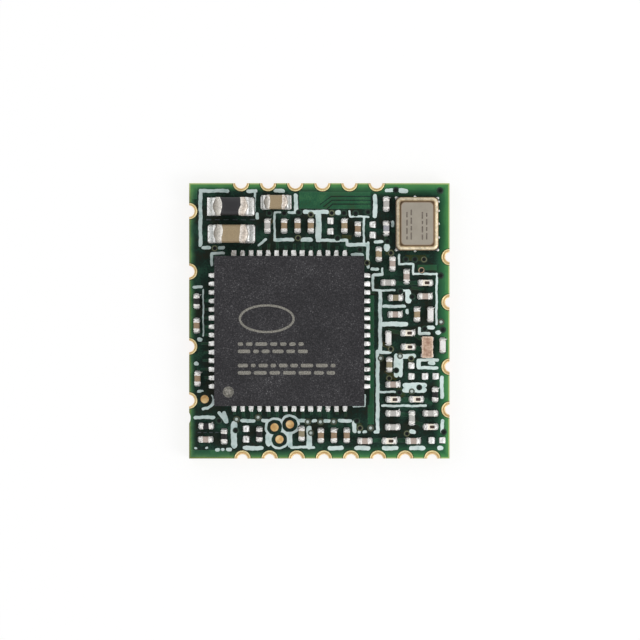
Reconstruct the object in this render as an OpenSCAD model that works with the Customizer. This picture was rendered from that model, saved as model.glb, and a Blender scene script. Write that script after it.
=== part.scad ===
// Castellated radio module: a small circuit board that is soldered flat onto a carrier board
// by plated half holes along its four edges. It carries a 56-lead radio chip, a crystal in a
// ceramic case, a diplexer, and small capacitors, resistors and inductors.
// +Z is up, +Y is north. The origin is the middle of the underside.

/* [Board] */
// Width of the board, west to east
board_w = 12.2; // [12.1:0.1:15]
// Length of the board, south to north
board_l = 12.9; // [12.8:0.1:16]
// Thickness of the glass-epoxy laminate
core_t = 0.8; // [0.4:0.1:1.6]
// Thickness of the outer copper and of the solder mask, whose faces lie flush
copper_t = 0.035; // [0.02:0.005:0.07]
// Thickness of the printed white ink
ink_t = 0.015; // [0.01:0.005:0.03]
// Cut at each corner of a solder land
land_cut = 0.06; // [0.02:0.01:0.08]
// Gap from a copper land to the edge of its opening in the solder mask
mask_gap = 0.03; // [0.02:0.01:0.04]
// Gap from a land or a via to the printed ink
ink_gap = 0.04; // [0.04:0.01:0.1]
// Radius of a drilled via
via_r = 0.09; // [0.06:0.01:0.11]
// Radius of a round test pad
test_pad_r = 0.19; // [0.15:0.01:0.2]
// Gap from a test pad to the edge of its opening in the solder mask
test_pad_gap = 0.05; // [0.05:0.01:0.1]
// Gap from a test pad to the printed ink
test_pad_ink_gap = 0.17; // [0.12:0.01:0.2]
// Depth of the scar where the board was broken out of its panel
scar_depth = 0.07; // [0.03:0.01:0.1]
// Length of that scar along the west edge
scar_l = 0.5; // [0.3:0.1:0.6]
// Distance of the middle of that scar from the south edge
scar_up = 1.9; // [1.8:0.1:2]

/* [Solder] */
// Thickness of the solder between a land and a part
solder_t = 0.04; // [0.035:0.005:0.06]
// Height of the solder that climbs the end of a small part
small_climb = 0.17; // [0.1:0.01:0.2]
// Height of the solder that climbs the end of a large part
large_climb = 0.4; // [0.2:0.05:0.5]
// Height of the solder that climbs a lead of the radio chip
lead_climb = 0.2; // [0.1:0.01:0.24]
// Height of the solder on a spare land
spare_solder_h = 0.09; // [0.05:0.01:0.12]

/* [Edge contacts] */
// Distance between the contacts along the north and south edges
contact_pitch = 1.27; // [1.1:0.01:1.5]
// Radius of the open half hole of a contact
contact_hole_r = 0.3; // [0.2:0.01:0.35]
// Distance of the half hole's centre outside the board's edge
contact_out = 0.03; // [0:0.01:0.1]
// Thickness of the plating in the half hole
plating_t = 0.03; // [0.02:0.005:0.05]
// Width of the gold land round the half hole on the top face
contact_ring = 0.08; // [0.06:0.01:0.13]
// Reach of the gold land inwards on the underside
under_land_l = 0.8; // [0.5:0.05:1]

/* [Radio chip] */
// Side of the square moulded body
chip_size = 7; // [6.4:0.1:7.5]
// Height of the moulded body
chip_h = 0.85; // [0.7:0.05:1]
// Thickness of the lead frame
frame_t = 0.2; // [0.1:0.01:0.25]
// Leads on each of the four sides
leads_per_side = 14; // [8:1:14]
// Distance between leads
lead_pitch = 0.4; // [0.35:0.01:0.42]
// Width of a lead
lead_w = 0.22; // [0.15:0.01:0.25]
// Length of a lead, inwards from the body's side
lead_l = 0.4; // [0.3:0.05:0.5]
// Reach of a solder land beyond the body's side
toe = 0.26; // [0.15:0.01:0.3]
// Side of the square die pad that is exposed on the underside
die_pad = 5.2; // [4:0.1:5.3]
// Side of the silicon die
die_size = 3.6; // [2.5:0.1:4]
// Thickness of the silicon die
die_t = 0.25; // [0.15:0.05:0.35]
// Radius of the moulded dot beside lead 1
dot_r = 0.24; // [0.15:0.01:0.3]
// Depth of that dot
dot_depth = 0.02; // [0.01:0.005:0.05]

/* [Crystal] */
// Width of the crystal's case
crystal_w = 2; // [1.6:0.1:2.2]
// Length of the crystal's case
crystal_l = 2.5; // [2.2:0.1:2.7]
// Height of its ceramic base
crystal_base_h = 0.3; // [0.25:0.01:0.4]
// Height of its gold seal ring
ring_h = 0.14; // [0.12:0.01:0.2]
// Width of its gold seal ring, outside the lid
ring_w = 0.21; // [0.15:0.01:0.25]
// Thickness of its steel lid
lid_t = 0.08; // [0.05:0.01:0.1]
// Thickness of the quartz blank inside
blank_t = 0.04; // [0.03:0.01:0.06]

/* [Small parts] */
// Length of a small two-ended part
small_l = 0.6; // [0.5:0.01:0.66]
// Width of a small two-ended part
small_w = 0.3; // [0.24:0.01:0.34]
// Height of a small capacitor or inductor
small_h = 0.3; // [0.2:0.01:0.35]
// Height of a small resistor
resistor_h = 0.23; // [0.15:0.01:0.3]
// Length of the metal end of a small part
small_end = 0.17; // [0.1:0.01:0.2]
// Thickness of the metal that wraps the ends of every part
end_t = 0.012; // [0.006:0.002:0.02]
// Reach of a small part's solder beyond its end
small_toe = 0.06; // [0.03:0.01:0.09]
// Half the gap between the two lands of a small part
small_gap = 0.13; // [0.08:0.01:0.15]

/* [Large parts] */
// Length of the bulk capacitor and of the power inductor
bulk_l = 1.65; // [1.4:0.05:1.8]
// Width of the bulk capacitor and of the power inductor
bulk_w = 0.86; // [0.7:0.02:0.94]
// Height of the bulk capacitor and of the power inductor
bulk_h = 0.8; // [0.5:0.05:1]
// Length of their metal ends
bulk_end = 0.4; // [0.25:0.05:0.5]
// Reach of their solder beyond their ends
bulk_toe = 0.28; // [0.15:0.01:0.3]
// Length of the supply capacitor
supply_l = 1.15; // [0.95:0.05:1.25]
// Width of the supply capacitor
supply_w = 0.68; // [0.5:0.02:0.74]
// Height of the supply capacitor
supply_h = 0.6; // [0.4:0.05:0.8]
// Length of its metal ends
supply_end = 0.28; // [0.2:0.02:0.35]
// Reach of its solder beyond its ends
supply_toe = 0.14; // [0.08:0.01:0.18]
// Width of the diplexer
diplexer_w = 0.5; // [0.4:0.02:0.56]
// Length of the diplexer
diplexer_l = 1; // [0.9:0.05:1.1]
// Height of the diplexer
diplexer_h = 0.4; // [0.3:0.05:0.5]

/* [Hidden] */
$fn = 32;
slot = 0.001; // overlap of a cutter past the face that it opens

core_z = copper_t;
core_top = core_z + core_t;
top_z = core_top + copper_t;

west = -board_w / 2;
east = board_w / 2;
north = board_l / 2;
south = -board_l / 2;

// The radio chip's middle, from the west and north edges.
chip_at = [west + 4.7, north - 6.92];
lead_run = (leads_per_side - 1) * lead_pitch;
// The crystal's middle, from the east and north edges.
crystal_at = [east - 1.53, north - 1.91];
// The diplexer's middle, from the east and north edges.
diplexer_at = [east - 1.05, north - 7.68];

// Where the contacts start along each edge, and the room that they leave at its end.
north_start = 2.43;
north_end_room = 3.2;
south_start = 2.5;
south_end_room = 0.6;
west_contacts = [1.31, 4.14, 7.65, 10.18]; // from the north edge
east_contacts = [3.46, 5.58, 8.6, 10.61]; // from the north edge
function contact_count(start, end_room) =
    floor((board_w - start - end_room) / contact_pitch) + 1;

// Two-ended parts: length, width, height, metal end, solder reach, half gap between lands.
SMALL = [small_l, small_w, small_h, small_end, small_toe, small_gap];
RESISTOR = [small_l, small_w, resistor_h, small_end, small_toe, small_gap];
BULK = [bulk_l, bulk_w, bulk_h, bulk_end, bulk_toe, bulk_l / 2 - bulk_end];
SUPPLY = [supply_l, supply_w, supply_h, supply_end, supply_toe, supply_l / 2 - supply_end];

TAN = "tan";
WHITE = "gainsboro";
BLACK = "dimgray";

// Each part: node name, sizes, colour, distances from its two edges, and its turn.
// Parts placed from the west and north edges.
FROM_NORTH_WEST = [
    ["power_inductor", BULK, BLACK, 1.95, 1.1, 0],
    ["bulk_capacitor", BULK, TAN, 1.98, 2.38, 0],
    ["supply_capacitor", SUPPLY, TAN, 4.07, 0.9, 0],
    ["inductor_01", SMALL, WHITE, 3.67, 2, 90],
    ["north_capacitors", SMALL, TAN, 4.45, 2, 90],
    ["north_capacitors", SMALL, TAN, 5.08, 2, 90],
    ["north_capacitors", SMALL, TAN, 5.7, 2, 90],
    ["capacitor_01", SMALL, TAN, 7.27, 2, 90],
    ["capacitor_02", SMALL, TAN, 7.9, 2.15, 90],
    ["resistor_01", RESISTOR, BLACK, 0.36, 5.53, 90],
    ["capacitor_03", SMALL, TAN, 0.36, 6.67, 90],
    ["capacitor_04", SMALL, TAN, 0.4, 9.15, 90],
];
// Parts placed from the east and north edges.
FROM_NORTH_EAST = [
    ["inductor_02", SMALL, WHITE, 2.97, 0.98, 90],
    ["inductor_03", SMALL, WHITE, 2.97, 2.12, 90],
    ["capacitor_05", SMALL, TAN, 3.32, 3.33, 90],
    ["inductor_04", SMALL, WHITE, 2.68, 3.77, 90],
    ["inductor_05", SMALL, WHITE, 2.02, 4.38, 90],
    ["inductor_06", SMALL, WHITE, 2.88, 4.66, 0],
    ["marked_inductor_01", SMALL, WHITE, 1.13, 4.67, 0],
    ["inductor_07", SMALL, WHITE, 1.15, 5.3, 0],
    ["capacitor_06", SMALL, TAN, 2.53, 5.37, 0],
    ["capacitor_07", SMALL, TAN, 2.55, 6.15, 0],
    ["capacitor_08", SMALL, TAN, 1.53, 6.15, 90],
    ["inductor_08", SMALL, WHITE, 0.9, 6.15, 90],
    ["inductor_09", SMALL, WHITE, 2.87, 7.26, 90],
    ["marked_inductor_02", SMALL, WHITE, 1.95, 7.02, 0],
    ["marked_inductor_03", SMALL, WHITE, 1.93, 7.67, 0],
    ["inductor_10", SMALL, WHITE, 0.33, 7.6, 90],
    ["capacitor_09", SMALL, TAN, 2.83, 8.5, 90],
];
// Parts placed from the east and south edges.
FROM_SOUTH_EAST = [
    ["capacitor_10", SMALL, TAN, 2.65, 3.47, 0],
    ["resistor_02", RESISTOR, BLACK, 0.68, 3, 90],
    ["marked_inductor_04", SMALL, WHITE, 2.64, 2.77, 0],
    ["marked_inductor_05", SMALL, WHITE, 1.55, 2.78, 0],
    ["inductor_11", SMALL, WHITE, 2.65, 2.12, 0],
    ["inductor_12", SMALL, WHITE, 1.77, 1.9, 90],
    ["inductor_13", SMALL, WHITE, 0.9, 2.12, 0],
    ["inductor_14", SMALL, WHITE, 2.66, 1.48, 0],
    ["marked_inductor_06", SMALL, WHITE, 0.89, 1.49, 0],
    ["marked_inductor_07", SMALL, WHITE, 2.82, 0.83, 0],
    ["capacitor_11", SMALL, TAN, 1.7, 0.83, 0],
];
// Parts placed from the west and south edges.
FROM_SOUTH_WEST = [
    ["capacitor_12", SMALL, TAN, 8.23, 0.83, 0],
    ["south_capacitors", SMALL, TAN, 7.38, 1.09, 90],
    ["south_capacitors", SMALL, TAN, 6.78, 1.09, 90],
    ["south_capacitors", SMALL, TAN, 6.17, 1.09, 90],
    ["capacitor_13", SMALL, TAN, 5.27, 1.17, 90],
    ["resistor_03", RESISTOR, BLACK, 3.29, 1.14, 90],
    ["resistor_04", RESISTOR, BLACK, 1.64, 1.04, 90],
    ["resistor_05", RESISTOR, BLACK, 0.8, 1.52, 0],
    ["capacitor_14", SMALL, TAN, 0.78, 0.9, 0],
];
function from_north_west(rows) = [for (r = rows) [r[0], r[1], r[2], west + r[3], north - r[4], r[5]]];
function from_north_east(rows) = [for (r = rows) [r[0], r[1], r[2], east - r[3], north - r[4], r[5]]];
function from_south_east(rows) = [for (r = rows) [r[0], r[1], r[2], east - r[3], south + r[4], r[5]]];
function from_south_west(rows) = [for (r = rows) [r[0], r[1], r[2], west + r[3], south + r[4], r[5]]];
PARTS = concat(from_north_west(FROM_NORTH_WEST), from_north_east(FROM_NORTH_EAST),
    from_south_east(FROM_SOUTH_EAST), from_south_west(FROM_SOUTH_WEST));

// Footprints that carry no part, only solder: the middle of each pair of lands, and its turn.
spare_land = 0.27; // side of a spare land
spare_pitch = 0.5; // distance between the two lands of a pair
SPARES = [
    [west + 6.62, north - 2.01, 90], [west + 8.6, north - 2.19, 90],
    [east - 1.79, north - 8.8, 90], [east - 0.9, north - 9.04, 0],
    [east - 0.59, south + 0.85, 0], [west + 2.67, south + 1.15, 90],
];

// Round gold test pads.
TEST_PADS = [
    [west + 0.73, north - 10.12], [west + 4, south + 1.46],
    [west + 4.72, south + 1.6], [west + 4.23, south + 0.9],
];

// Vias, in four groups from their nearest edges, and a square group under the die pad.
VIAS_NORTH_WEST = [
    [1.2, 3.05], [3.75, 1.4], [4.45, 1.4], [5.13, 1.37], [5.1, 2.57], [5.7, 1.47], [6.68, 1.4],
    [7.25, 1.4], [7.8, 1.42], [8.38, 1.36], [6.95, 2.57], [8, 3.12], [8.33, 3.73],
];
VIAS_NORTH_EAST = [
    [0.45, 0.35], [2.52, 0.33], [2.05, 3.57], [1.63, 3.57], [1.2, 3.57], [1.3, 4.1], [0.43, 4.33],
    [2.75, 3.27], [2.92, 2.72], [2.3, 5.07], [1.75, 5.32], [0.4, 6.5], [1.17, 6.83], [0.32, 6.87],
    [2.75, 7.77], [2.32, 8.1], [1.8, 8.22], [3.23, 8.2], [2.83, 9.14], [2.5, 8.77],
];
VIAS_SOUTH_EAST = [[1.42, 3.33], [1.77, 3.15], [2.36, 3.1], [0.27, 1.24], [2, 1.17]];
VIAS_SOUTH_WEST = [
    [3.23, 1.93], [5.55, 1.72], [6.15, 1.72], [6.77, 1.73], [7.85, 1.77], [8, 1.43], [8.5, 1.43],
    [5.7, 1.2], [2.18, 1.32], [2.22, 1.84], [1.4, 1.78],
];
thermal_pitch = 1.1; // distance between the vias under the die pad
thermal_rows = 4;
thermal_mid = (thermal_rows - 1) / 2;
THERMAL_VIAS = [
    for (i = [0 : thermal_rows - 1], j = [0 : thermal_rows - 1])
        chip_at + thermal_pitch * [i - thermal_mid, j - thermal_mid]
];
VIAS = concat(
    [for (v = VIAS_NORTH_WEST) [west + v.x, north - v.y]],
    [for (v = VIAS_NORTH_EAST) [east - v.x, north - v.y]],
    [for (v = VIAS_SOUTH_EAST) [east - v.x, south + v.y]],
    [for (v = VIAS_SOUTH_WEST) [west + v.x, south + v.y]]);

BOARD_NODES = ["circuit_board", "solder_mask", "edge_contacts", "copper_lands", "test_pads",
    "silkscreen", "solder_joints"];
CHIP_NODES = ["chip_body", "chip_lead_frame", "chip_die"];
CRYSTAL_NODES = ["crystal_base", "crystal_seal_ring", "crystal_lid", "crystal_blank"];
PART_NODES = [for (i = [0 : len(PARTS) - 1]) if (i == 0 || PARTS[i][0] != PARTS[i - 1][0]) PARTS[i][0]];

// ---- Shapes that repeat ----

// A flat rectangle about the origin, with round corners.
module round_rect(size, r) {
    square([size.x - 2 * r, size.y], center = true);
    square([size.x, size.y - 2 * r], center = true);
    for (x = [-1, 1], y = [-1, 1])
        translate([x * (size.x / 2 - r), y * (size.y / 2 - r)]) circle(r = r);
}

// A flat rectangle about the origin, with its corners cut off.
module cut_rect(size, cut) {
    x = size.x / 2;
    y = size.y / 2;
    polygon([[cut - x, -y], [x - cut, -y], [x, cut - y], [x, y - cut],
        [x - cut, y], [cut - x, y], [-x, y - cut], [-x, cut - y]]);
}

// A block along X with the four edges along its length cut off, standing on the XY plane.
module soft_block(l, w, h, cut) {
    rotate([90, 0, 90]) linear_extrude(l, center = true) polygon([
        [-w / 2 + cut, 0], [w / 2 - cut, 0], [w / 2, cut], [w / 2, h - cut],
        [w / 2 - cut, h], [-w / 2 + cut, h], [-w / 2, h - cut], [-w / 2, cut]]);
}

// One solder joint, whose land starts at the given distance from the part's middle along +X:
// a thin film under the terminal, and a hollow slope that climbs the terminal's end face.
module solder_joint(land_from, face, reach, climb, width, steps = 5) {
    slope = [for (i = [0 : steps]) let (a = 90 * i / steps)
        [face + reach * (1 - sin(a)), climb * (1 - cos(a))]];
    rotate([90, 0, 0]) linear_extrude(width, center = true)
        polygon(concat([[land_from, 0]], slope, [[face, solder_t], [land_from, solder_t]]));
}

// Every edge contact, drawn by its child with the board's edge on X and the board at +Y.
module each_contact() {
    for (i = [0 : contact_count(north_start, north_end_room) - 1])
        translate([west + north_start + i * contact_pitch, north]) rotate(180) children();
    for (i = [0 : contact_count(south_start, south_end_room) - 1])
        translate([west + south_start + i * contact_pitch, south]) children();
    for (d = west_contacts) translate([west, north - d]) rotate(-90) children();
    for (d = east_contacts) translate([east, north - d]) rotate(90) children();
}

// The outline of the board with its half holes, cut wider by the given amount.
module board_outline(wider = 0) {
    scar_r = (scar_l * scar_l / 4 + scar_depth * scar_depth) / (2 * scar_depth);
    difference() {
        square([board_w, board_l], center = true);
        each_contact() translate([0, -contact_out]) circle(r = contact_hole_r + wider);
        translate([west + scar_depth - scar_r, south + scar_up]) circle(r = scar_r);
    }
}

// The gold land of one contact on the top face, without its half hole.
module top_contact_land(wider = 0) {
    r = contact_hole_r + contact_ring + wider;
    intersection() {
        circle(r = r);
        translate([-r, 0]) square([2 * r, r]);
    }
}

// The longer gold land of one contact on the underside, without its half hole.
module under_contact_land(wider = 0) {
    r = contact_hole_r + contact_ring + wider;
    translate([0, under_land_l - contact_hole_r - contact_ring]) circle(r = r);
    translate([-r, 0]) square([2 * r, under_land_l - contact_hole_r - contact_ring]);
}

// ---- Lands: every piece of copper that solder covers, as [x, y, width, length] ----

function turned(p, turn) = turn == 0 ? p : [-p.y, p.x];
function part_lands(p) = let (s = p[1], from = s[5], to = s[0] / 2 + s[4])
    [for (side = [-1, 1]) let (at = turned([side * (from + to) / 2, 0], p[5]))
        [p[3] + at.x, p[4] + at.y, p[5] == 0 ? to - from : s[1], p[5] == 0 ? s[1] : to - from]];
function spare_lands(s) = [for (side = [-1, 1])
    let (at = turned([side * spare_pitch / 2, 0], s[2]))
        [s[0] + at.x, s[1] + at.y, spare_land, spare_land]];

lead_land_l = lead_l + toe;
function lead_lands() = [for (i = [0 : leads_per_side - 1], side = [-1, 1])
    let (along = i * lead_pitch - lead_run / 2, across = side * (chip_size / 2 + toe - lead_land_l / 2))
        each [[chip_at.x + along, chip_at.y + across, lead_w, lead_land_l],
              [chip_at.x + across, chip_at.y + along, lead_land_l, lead_w]]];

crystal_land = [0.7, 0.8]; // width and length of a land under a corner of the crystal
function crystal_lands() = [for (x = [-1, 1], y = [-1, 1])
    [crystal_at.x + x * (crystal_w - crystal_land.x) / 2,
     crystal_at.y + y * (crystal_l - crystal_land.y) / 2,
     crystal_land.x, crystal_land.y]];

diplexer_side_pads = 3; // terminals on each long side
diplexer_pad = 0.18; // length of a terminal
diplexer_pitch = (diplexer_l - diplexer_pad) / (diplexer_side_pads - 1) - 0.02;
diplexer_toe = 0.05; // reach of its solder beyond its side
diplexer_wrap = 0.07; // reach of a terminal over the top and the underside
function diplexer_lands() = [for (x = [-1, 1], i = [0 : diplexer_side_pads - 1])
    [diplexer_at.x + x * (diplexer_w / 2 + (diplexer_toe - diplexer_wrap) / 2),
     diplexer_at.y + (i - (diplexer_side_pads - 1) / 2) * diplexer_pitch,
     diplexer_toe + diplexer_wrap, diplexer_pad]];

LANDS = concat([for (p = PARTS) each part_lands(p)], [for (s = SPARES) each spare_lands(s)],
    lead_lands(), crystal_lands(), diplexer_lands());

// The lands and the die pad's land, each grown by the given amount on every side.
module land_shapes(wider = 0) {
    for (l = LANDS) let (cut = min(land_cut, l[2] / 4, l[3] / 4) + (2 - sqrt(2)) * wider)
        translate([l[0], l[1]]) cut_rect([l[2] + 2 * wider, l[3] + 2 * wider], cut);
    translate(chip_at) square(die_pad + 2 * wider, center = true);
}

// ---- Board ----

module circuit_board() color("darkkhaki") difference() {
    translate([0, 0, core_z]) linear_extrude(core_t) board_outline(plating_t);
    for (v = concat(VIAS, THERMAL_VIAS))
        translate([v.x, v.y, core_z - slot]) cylinder(r = via_r, h = core_t + 2 * slot);
}

// Green lacquer on both faces, open over every land, contact and via, and the plugs of
// lacquer that close the vias.
plug_dip = 0.1; // depth of a plug below the board's faces
module solder_mask() color("green") {
    for (v = concat(VIAS, THERMAL_VIAS))
        translate([v.x, v.y, core_z + plug_dip]) cylinder(r = via_r, h = core_t - 2 * plug_dip);
    translate([0, 0, core_top]) linear_extrude(copper_t) difference() {
        board_outline(plating_t);
        land_shapes(mask_gap);
        each_contact() top_contact_land(mask_gap);
        for (t = TEST_PADS) translate(t) circle(r = test_pad_r + test_pad_gap);
        for (v = VIAS) translate(v) circle(r = via_r);
    }
    linear_extrude(copper_t) difference() {
        board_outline(plating_t);
        each_contact() under_contact_land(mask_gap);
        for (v = concat(VIAS, THERMAL_VIAS)) translate(v) circle(r = via_r);
    }
}

// A contact: a half barrel through the board with a gold land on each face.
module edge_contact() {
    module open_half() {
        difference() {
            children();
            translate([0, -contact_out]) circle(r = contact_hole_r);
        }
    }
    barrel_r = contact_hole_r + plating_t;
    linear_extrude(copper_t) open_half() under_contact_land();
    translate([0, 0, core_z]) linear_extrude(core_t) open_half() intersection() {
        translate([0, -contact_out]) circle(r = barrel_r);
        translate([-barrel_r, 0]) square(2 * barrel_r);
    }
    translate([0, 0, core_top]) linear_extrude(copper_t) open_half() top_contact_land();
}

module edge_contacts() color("gold") each_contact() edge_contact();

module copper_lands() color("goldenrod")
    translate([0, 0, core_top]) linear_extrude(copper_t) land_shapes();

module test_pads() color("gold")
    for (t = TEST_PADS) translate([t.x, t.y, core_top]) cylinder(r = test_pad_r, h = copper_t);

// ---- Printed ink: strokes as [x, y, x, y, width] from the two nearest edges ----

INK_NORTH_WEST = [
    // frame round the power inductor and the bulk capacitor
    [0.53, 0.36, 0.53, 2.9, 0.17], [0.53, 0.36, 1.8, 0.36, 0.16],
    [0.66, 3.03, 0.94, 3.03, 0.16], [1.42, 3.03, 1.62, 3.03, 0.16],
    [2.75, 0.37, 3.12, 0.37, 0.17], [3.07, 0.45, 3.07, 1.3, 0.1], [3.18, 1.43, 3.18, 1.64, 0.16],
    // round the supply capacitor and the row below it
    [4.03, 0.36, 4.41, 0.36, 0.17], [5, 0.58, 5, 1.3, 0.19], [4.67, 1.37, 5, 1.37, 0.12],
    [4, 1.37, 4, 2.62, 0.1], [4, 1.36, 4.27, 1.36, 0.1], [4.03, 2.65, 4.86, 2.65, 0.16],
    [5.32, 2.65, 5.69, 2.65, 0.2], [3.25, 2.9, 3.6, 2.63, 0.12], [5.4, 1.35, 6.45, 1.35, 0.19],
    [6.06, 1.39, 6.06, 2.6, 0.27], [6.95, 1.38, 7, 1.38, 0.25], [7.5, 1.3, 7.55, 1.55, 0.09],
    [7.55, 1.56, 8.4, 1.57, 0.09], [8.18, 1.6, 8.18, 2.85, 0.1], [6, 2.68, 7.4, 2.68, 0.14],
    [7.4, 2.7, 7.4, 2.88, 0.14], [7.4, 2.88, 8.36, 2.88, 0.17],
    // along the west edge
    [0.24, 4.86, 0.56, 4.86, 0.14], [0.66, 5, 0.66, 7.15, 0.07], [0.48, 7.32, 0.54, 7.32, 0.2],
    [0.32, 8.46, 0.36, 8.46, 0.2], [0.42, 9.76, 0.62, 9.76, 0.14], [1.07, 9.98, 1.07, 10.36, 0.14],
    [0.66, 10.56, 0.88, 10.54, 0.14], [0.88, 10.54, 1.07, 10.36, 0.14],
];
INK_NORTH_EAST = [
    // between the radio chip and the crystal
    [3.49, 0.61, 3.49, 1.55, 0.2], [4.57, 3.35, 4.08, 3.35, 0.15], [3.83, 2.8, 3.83, 3.95, 0.14],
    [3.65, 4.02, 3.37, 4.02, 0.14], [3.15, 4, 3.15, 4.25, 0.1], [3.55, 4.29, 3.17, 4.29, 0.15],
    [3.59, 4.3, 3.59, 5.02, 0.12], [3.59, 5.02, 2.58, 5.02, 0.1], [3.47, 2.75, 3.17, 2.75, 0.15],
    [2.93, 2.97, 2.93, 3.05, 0.29], [2.67, 1.82, 2.67, 2.02, 0.13], [2.97, 0.34, 2.67, 0.34, 0.17],
    [2.3, 0.33, 2.05, 0.37, 0.22],
    // the long line east of the radio chip
    [3.25, 5.05, 3.25, 7.85, 0.17], [3.37, 7.9, 3.37, 11.6, 0.17],
    // round the first radio path
    [1.94, 5.11, 1.94, 5.51, 0.28], [2.18, 5.02, 1.98, 5.02, 0.1], [3.1, 5.77, 2.1, 5.77, 0.14],
    [1.98, 5.95, 1.98, 6.06, 0.15],
    [3.15, 6.6, 2.05, 6.6, 0.22], [2.36, 3.35, 2.36, 3.79, 0.1], [2.36, 3.79, 1.7, 3.79, 0.1],
    [1.7, 3.79, 1.7, 4.25, 0.1], [1.7, 4.25, 0.6, 4.25, 0.1], [0.6, 4.25, 0.62, 6.6, 0.1],
    // round the diplexer
    [1.42, 6.78, 1.42, 7.05, 0.14], [1.42, 7.05, 0.95, 7.05, 0.14], [0.98, 6.77, 0.78, 6.77, 0.18],
    [0.55, 6.99, 0.5, 6.99, 0.22], [3.3, 7.92, 2.8, 7.92, 0.14], [2.5, 8.1, 2.5, 9, 0.22],
    [2.3, 8.1, 2.3, 9, 0.22], [2.3, 8.11, 1.68, 8.11, 0.22], [1.44, 8.3, 1.44, 8.62, 0.2],
    [1.44, 8.28, 0.55, 8.28, 0.14], [1.44, 8.65, 0.6, 8.65, 0.15], [0.95, 8.43, 0.75, 8.43, 0.17],
];
INK_SOUTH_EAST = [
    // round the second radio path
    [2.1, 3.43, 1.18, 3.43, 0.24], [2.1, 3.21, 1.18, 3.21, 0.24], [3.25, 3.12, 2.55, 3.12, 0.1],
    [0.36, 3.8, 0.36, 2.87, 0.17], [3.15, 2.47, 1.12, 2.47, 0.11], [0.34, 1.78, 0.34, 1.2, 0.15],
    [1.8, 1.26, 1.67, 1.26, 0.2],
    // along the south edge
    [3.07, 0.49, 2.5, 0.49, 0.2], [1.8, 0.49, 1.24, 0.49, 0.2], [0.48, 0.49, 0.38, 0.49, 0.2],
];
INK_SOUTH_WEST = [
    // along the south edge
    [0.3, 0.49, 0.34, 0.49, 0.1], [0.8, 0.49, 0.84, 0.49, 0.1], [1.28, 0.42, 1.38, 0.42, 0.16],
    [1.56, 0.42, 1.6, 0.42, 0.14], [1.81, 0.42, 1.94, 0.42, 0.16], [2.6, 0.49, 3.38, 0.49, 0.2],
    [6.6, 0.49, 7.14, 0.49, 0.2], [7.84, 0.49, 8.39, 0.49, 0.2],
    // the broken line below the radio chip
    [2.48, 1.77, 3.03, 1.77, 0.16], [3.44, 1.77, 4.02, 1.77, 0.16], [5.1, 1.77, 5.52, 1.77, 0.16],
    [5.8, 1.77, 5.92, 1.77, 0.16], [6.37, 1.77, 6.56, 1.77, 0.16], [7.02, 1.77, 7.57, 1.77, 0.16],
    // round the south parts and the test pads
    [7.74, 1.69, 7.74, 1.28, 0.2], [7.95, 1.25, 7.98, 1.25, 0.14], [8.2, 1.25, 8.28, 1.25, 0.14],
    [8.7, 1.25, 8.84, 1.25, 0.14], [5.62, 1.42, 5.62, 0.56, 0.25], [4.76, 0.53, 5.84, 0.53, 0.12],
    [3.72, 1.1, 3.72, 0.69, 0.27], [4.72, 1.25, 4.72, 0.62, 0.24], [4.3, 1.27, 4.4, 1.27, 0.3],
    [2.1, 1.64, 2.1, 0.62, 0.29], [1.4, 2.15, 1.72, 1.74, 0.16], [1.62, 2.12, 1.74, 1.74, 0.2],
    [0.28, 1.93, 1.16, 1.93, 0.16],
];
mark_l = 0.55; // length of the ink marks at two corners of the radio chip
mark_w = 0.13; // width of those marks
mark_gap = 0.14; // gap from the chip's side to the middle of the north-west mark
thin_mark_w = 0.07; // width of the south-east mark, which lies against the chip's side
function chip_marks() =
    let (out = chip_size / 2 + mark_gap, near = out - mark_l, side = (chip_size + thin_mark_w) / 2)
    [[-out, out, -out, near, mark_w], [-out, out, -near, out, mark_w],
     [side, -side, side, mark_l - side, thin_mark_w], [side, -side, side - mark_l, -side, thin_mark_w]];
INK = concat(
    [for (i = INK_NORTH_WEST) [west + i[0], north - i[1], west + i[2], north - i[3], i[4]]],
    [for (i = INK_NORTH_EAST) [east - i[0], north - i[1], east - i[2], north - i[3], i[4]]],
    [for (i = INK_SOUTH_EAST) [east - i[0], south + i[1], east - i[2], south + i[3], i[4]]],
    [for (i = INK_SOUTH_WEST) [west + i[0], south + i[1], west + i[2], south + i[3], i[4]]],
    [for (i = chip_marks())
        [chip_at.x + i[0], chip_at.y + i[1], chip_at.x + i[2], chip_at.y + i[3], i[4]]]);

// A straight stroke of ink with round ends.
module stroke(s, steps = 4) {
    along = atan2(s[3] - s[1], s[2] - s[0]);
    function cap(at, from) = [for (i = [0 : steps]) let (a = from + 180 * i / steps)
        at + s[4] / 2 * [cos(a), sin(a)]];
    polygon(concat(cap([s[2], s[3]], along - 90), cap([s[0], s[1]], along + 90)));
}

ink_ring_w = 0.11; // width of the ring of ink round each of the three south test pads
module silkscreen() color("mintcream")
    translate([0, 0, top_z]) linear_extrude(ink_t) difference() {
        union() {
            for (i = INK) stroke(i);
            translate(TEST_PADS[0]) test_pad_arc();
            for (i = [1 : len(TEST_PADS) - 1])
                translate(TEST_PADS[i]) circle(r = test_pad_r + test_pad_ink_gap + ink_ring_w);
        }
        land_shapes(ink_gap);
        each_contact() top_contact_land(ink_gap);
        for (t = TEST_PADS) translate(t) circle(r = test_pad_r + test_pad_ink_gap);
        for (v = VIAS) translate(v) circle(r = via_r + mask_gap);
    }

// The quarter ring of ink beside the westernmost test pad.
module test_pad_arc(width = 0.14) {
    r = test_pad_r + test_pad_ink_gap + width / 2;
    difference() {
        circle(r = r + width / 2);
        circle(r = r - width / 2);
        translate([-2 * r, 0]) square([4 * r, 2 * r]);
        translate([-2 * r, -2 * r]) square([2 * r, 4 * r]);
    }
}

// ---- Solder ----

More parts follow.
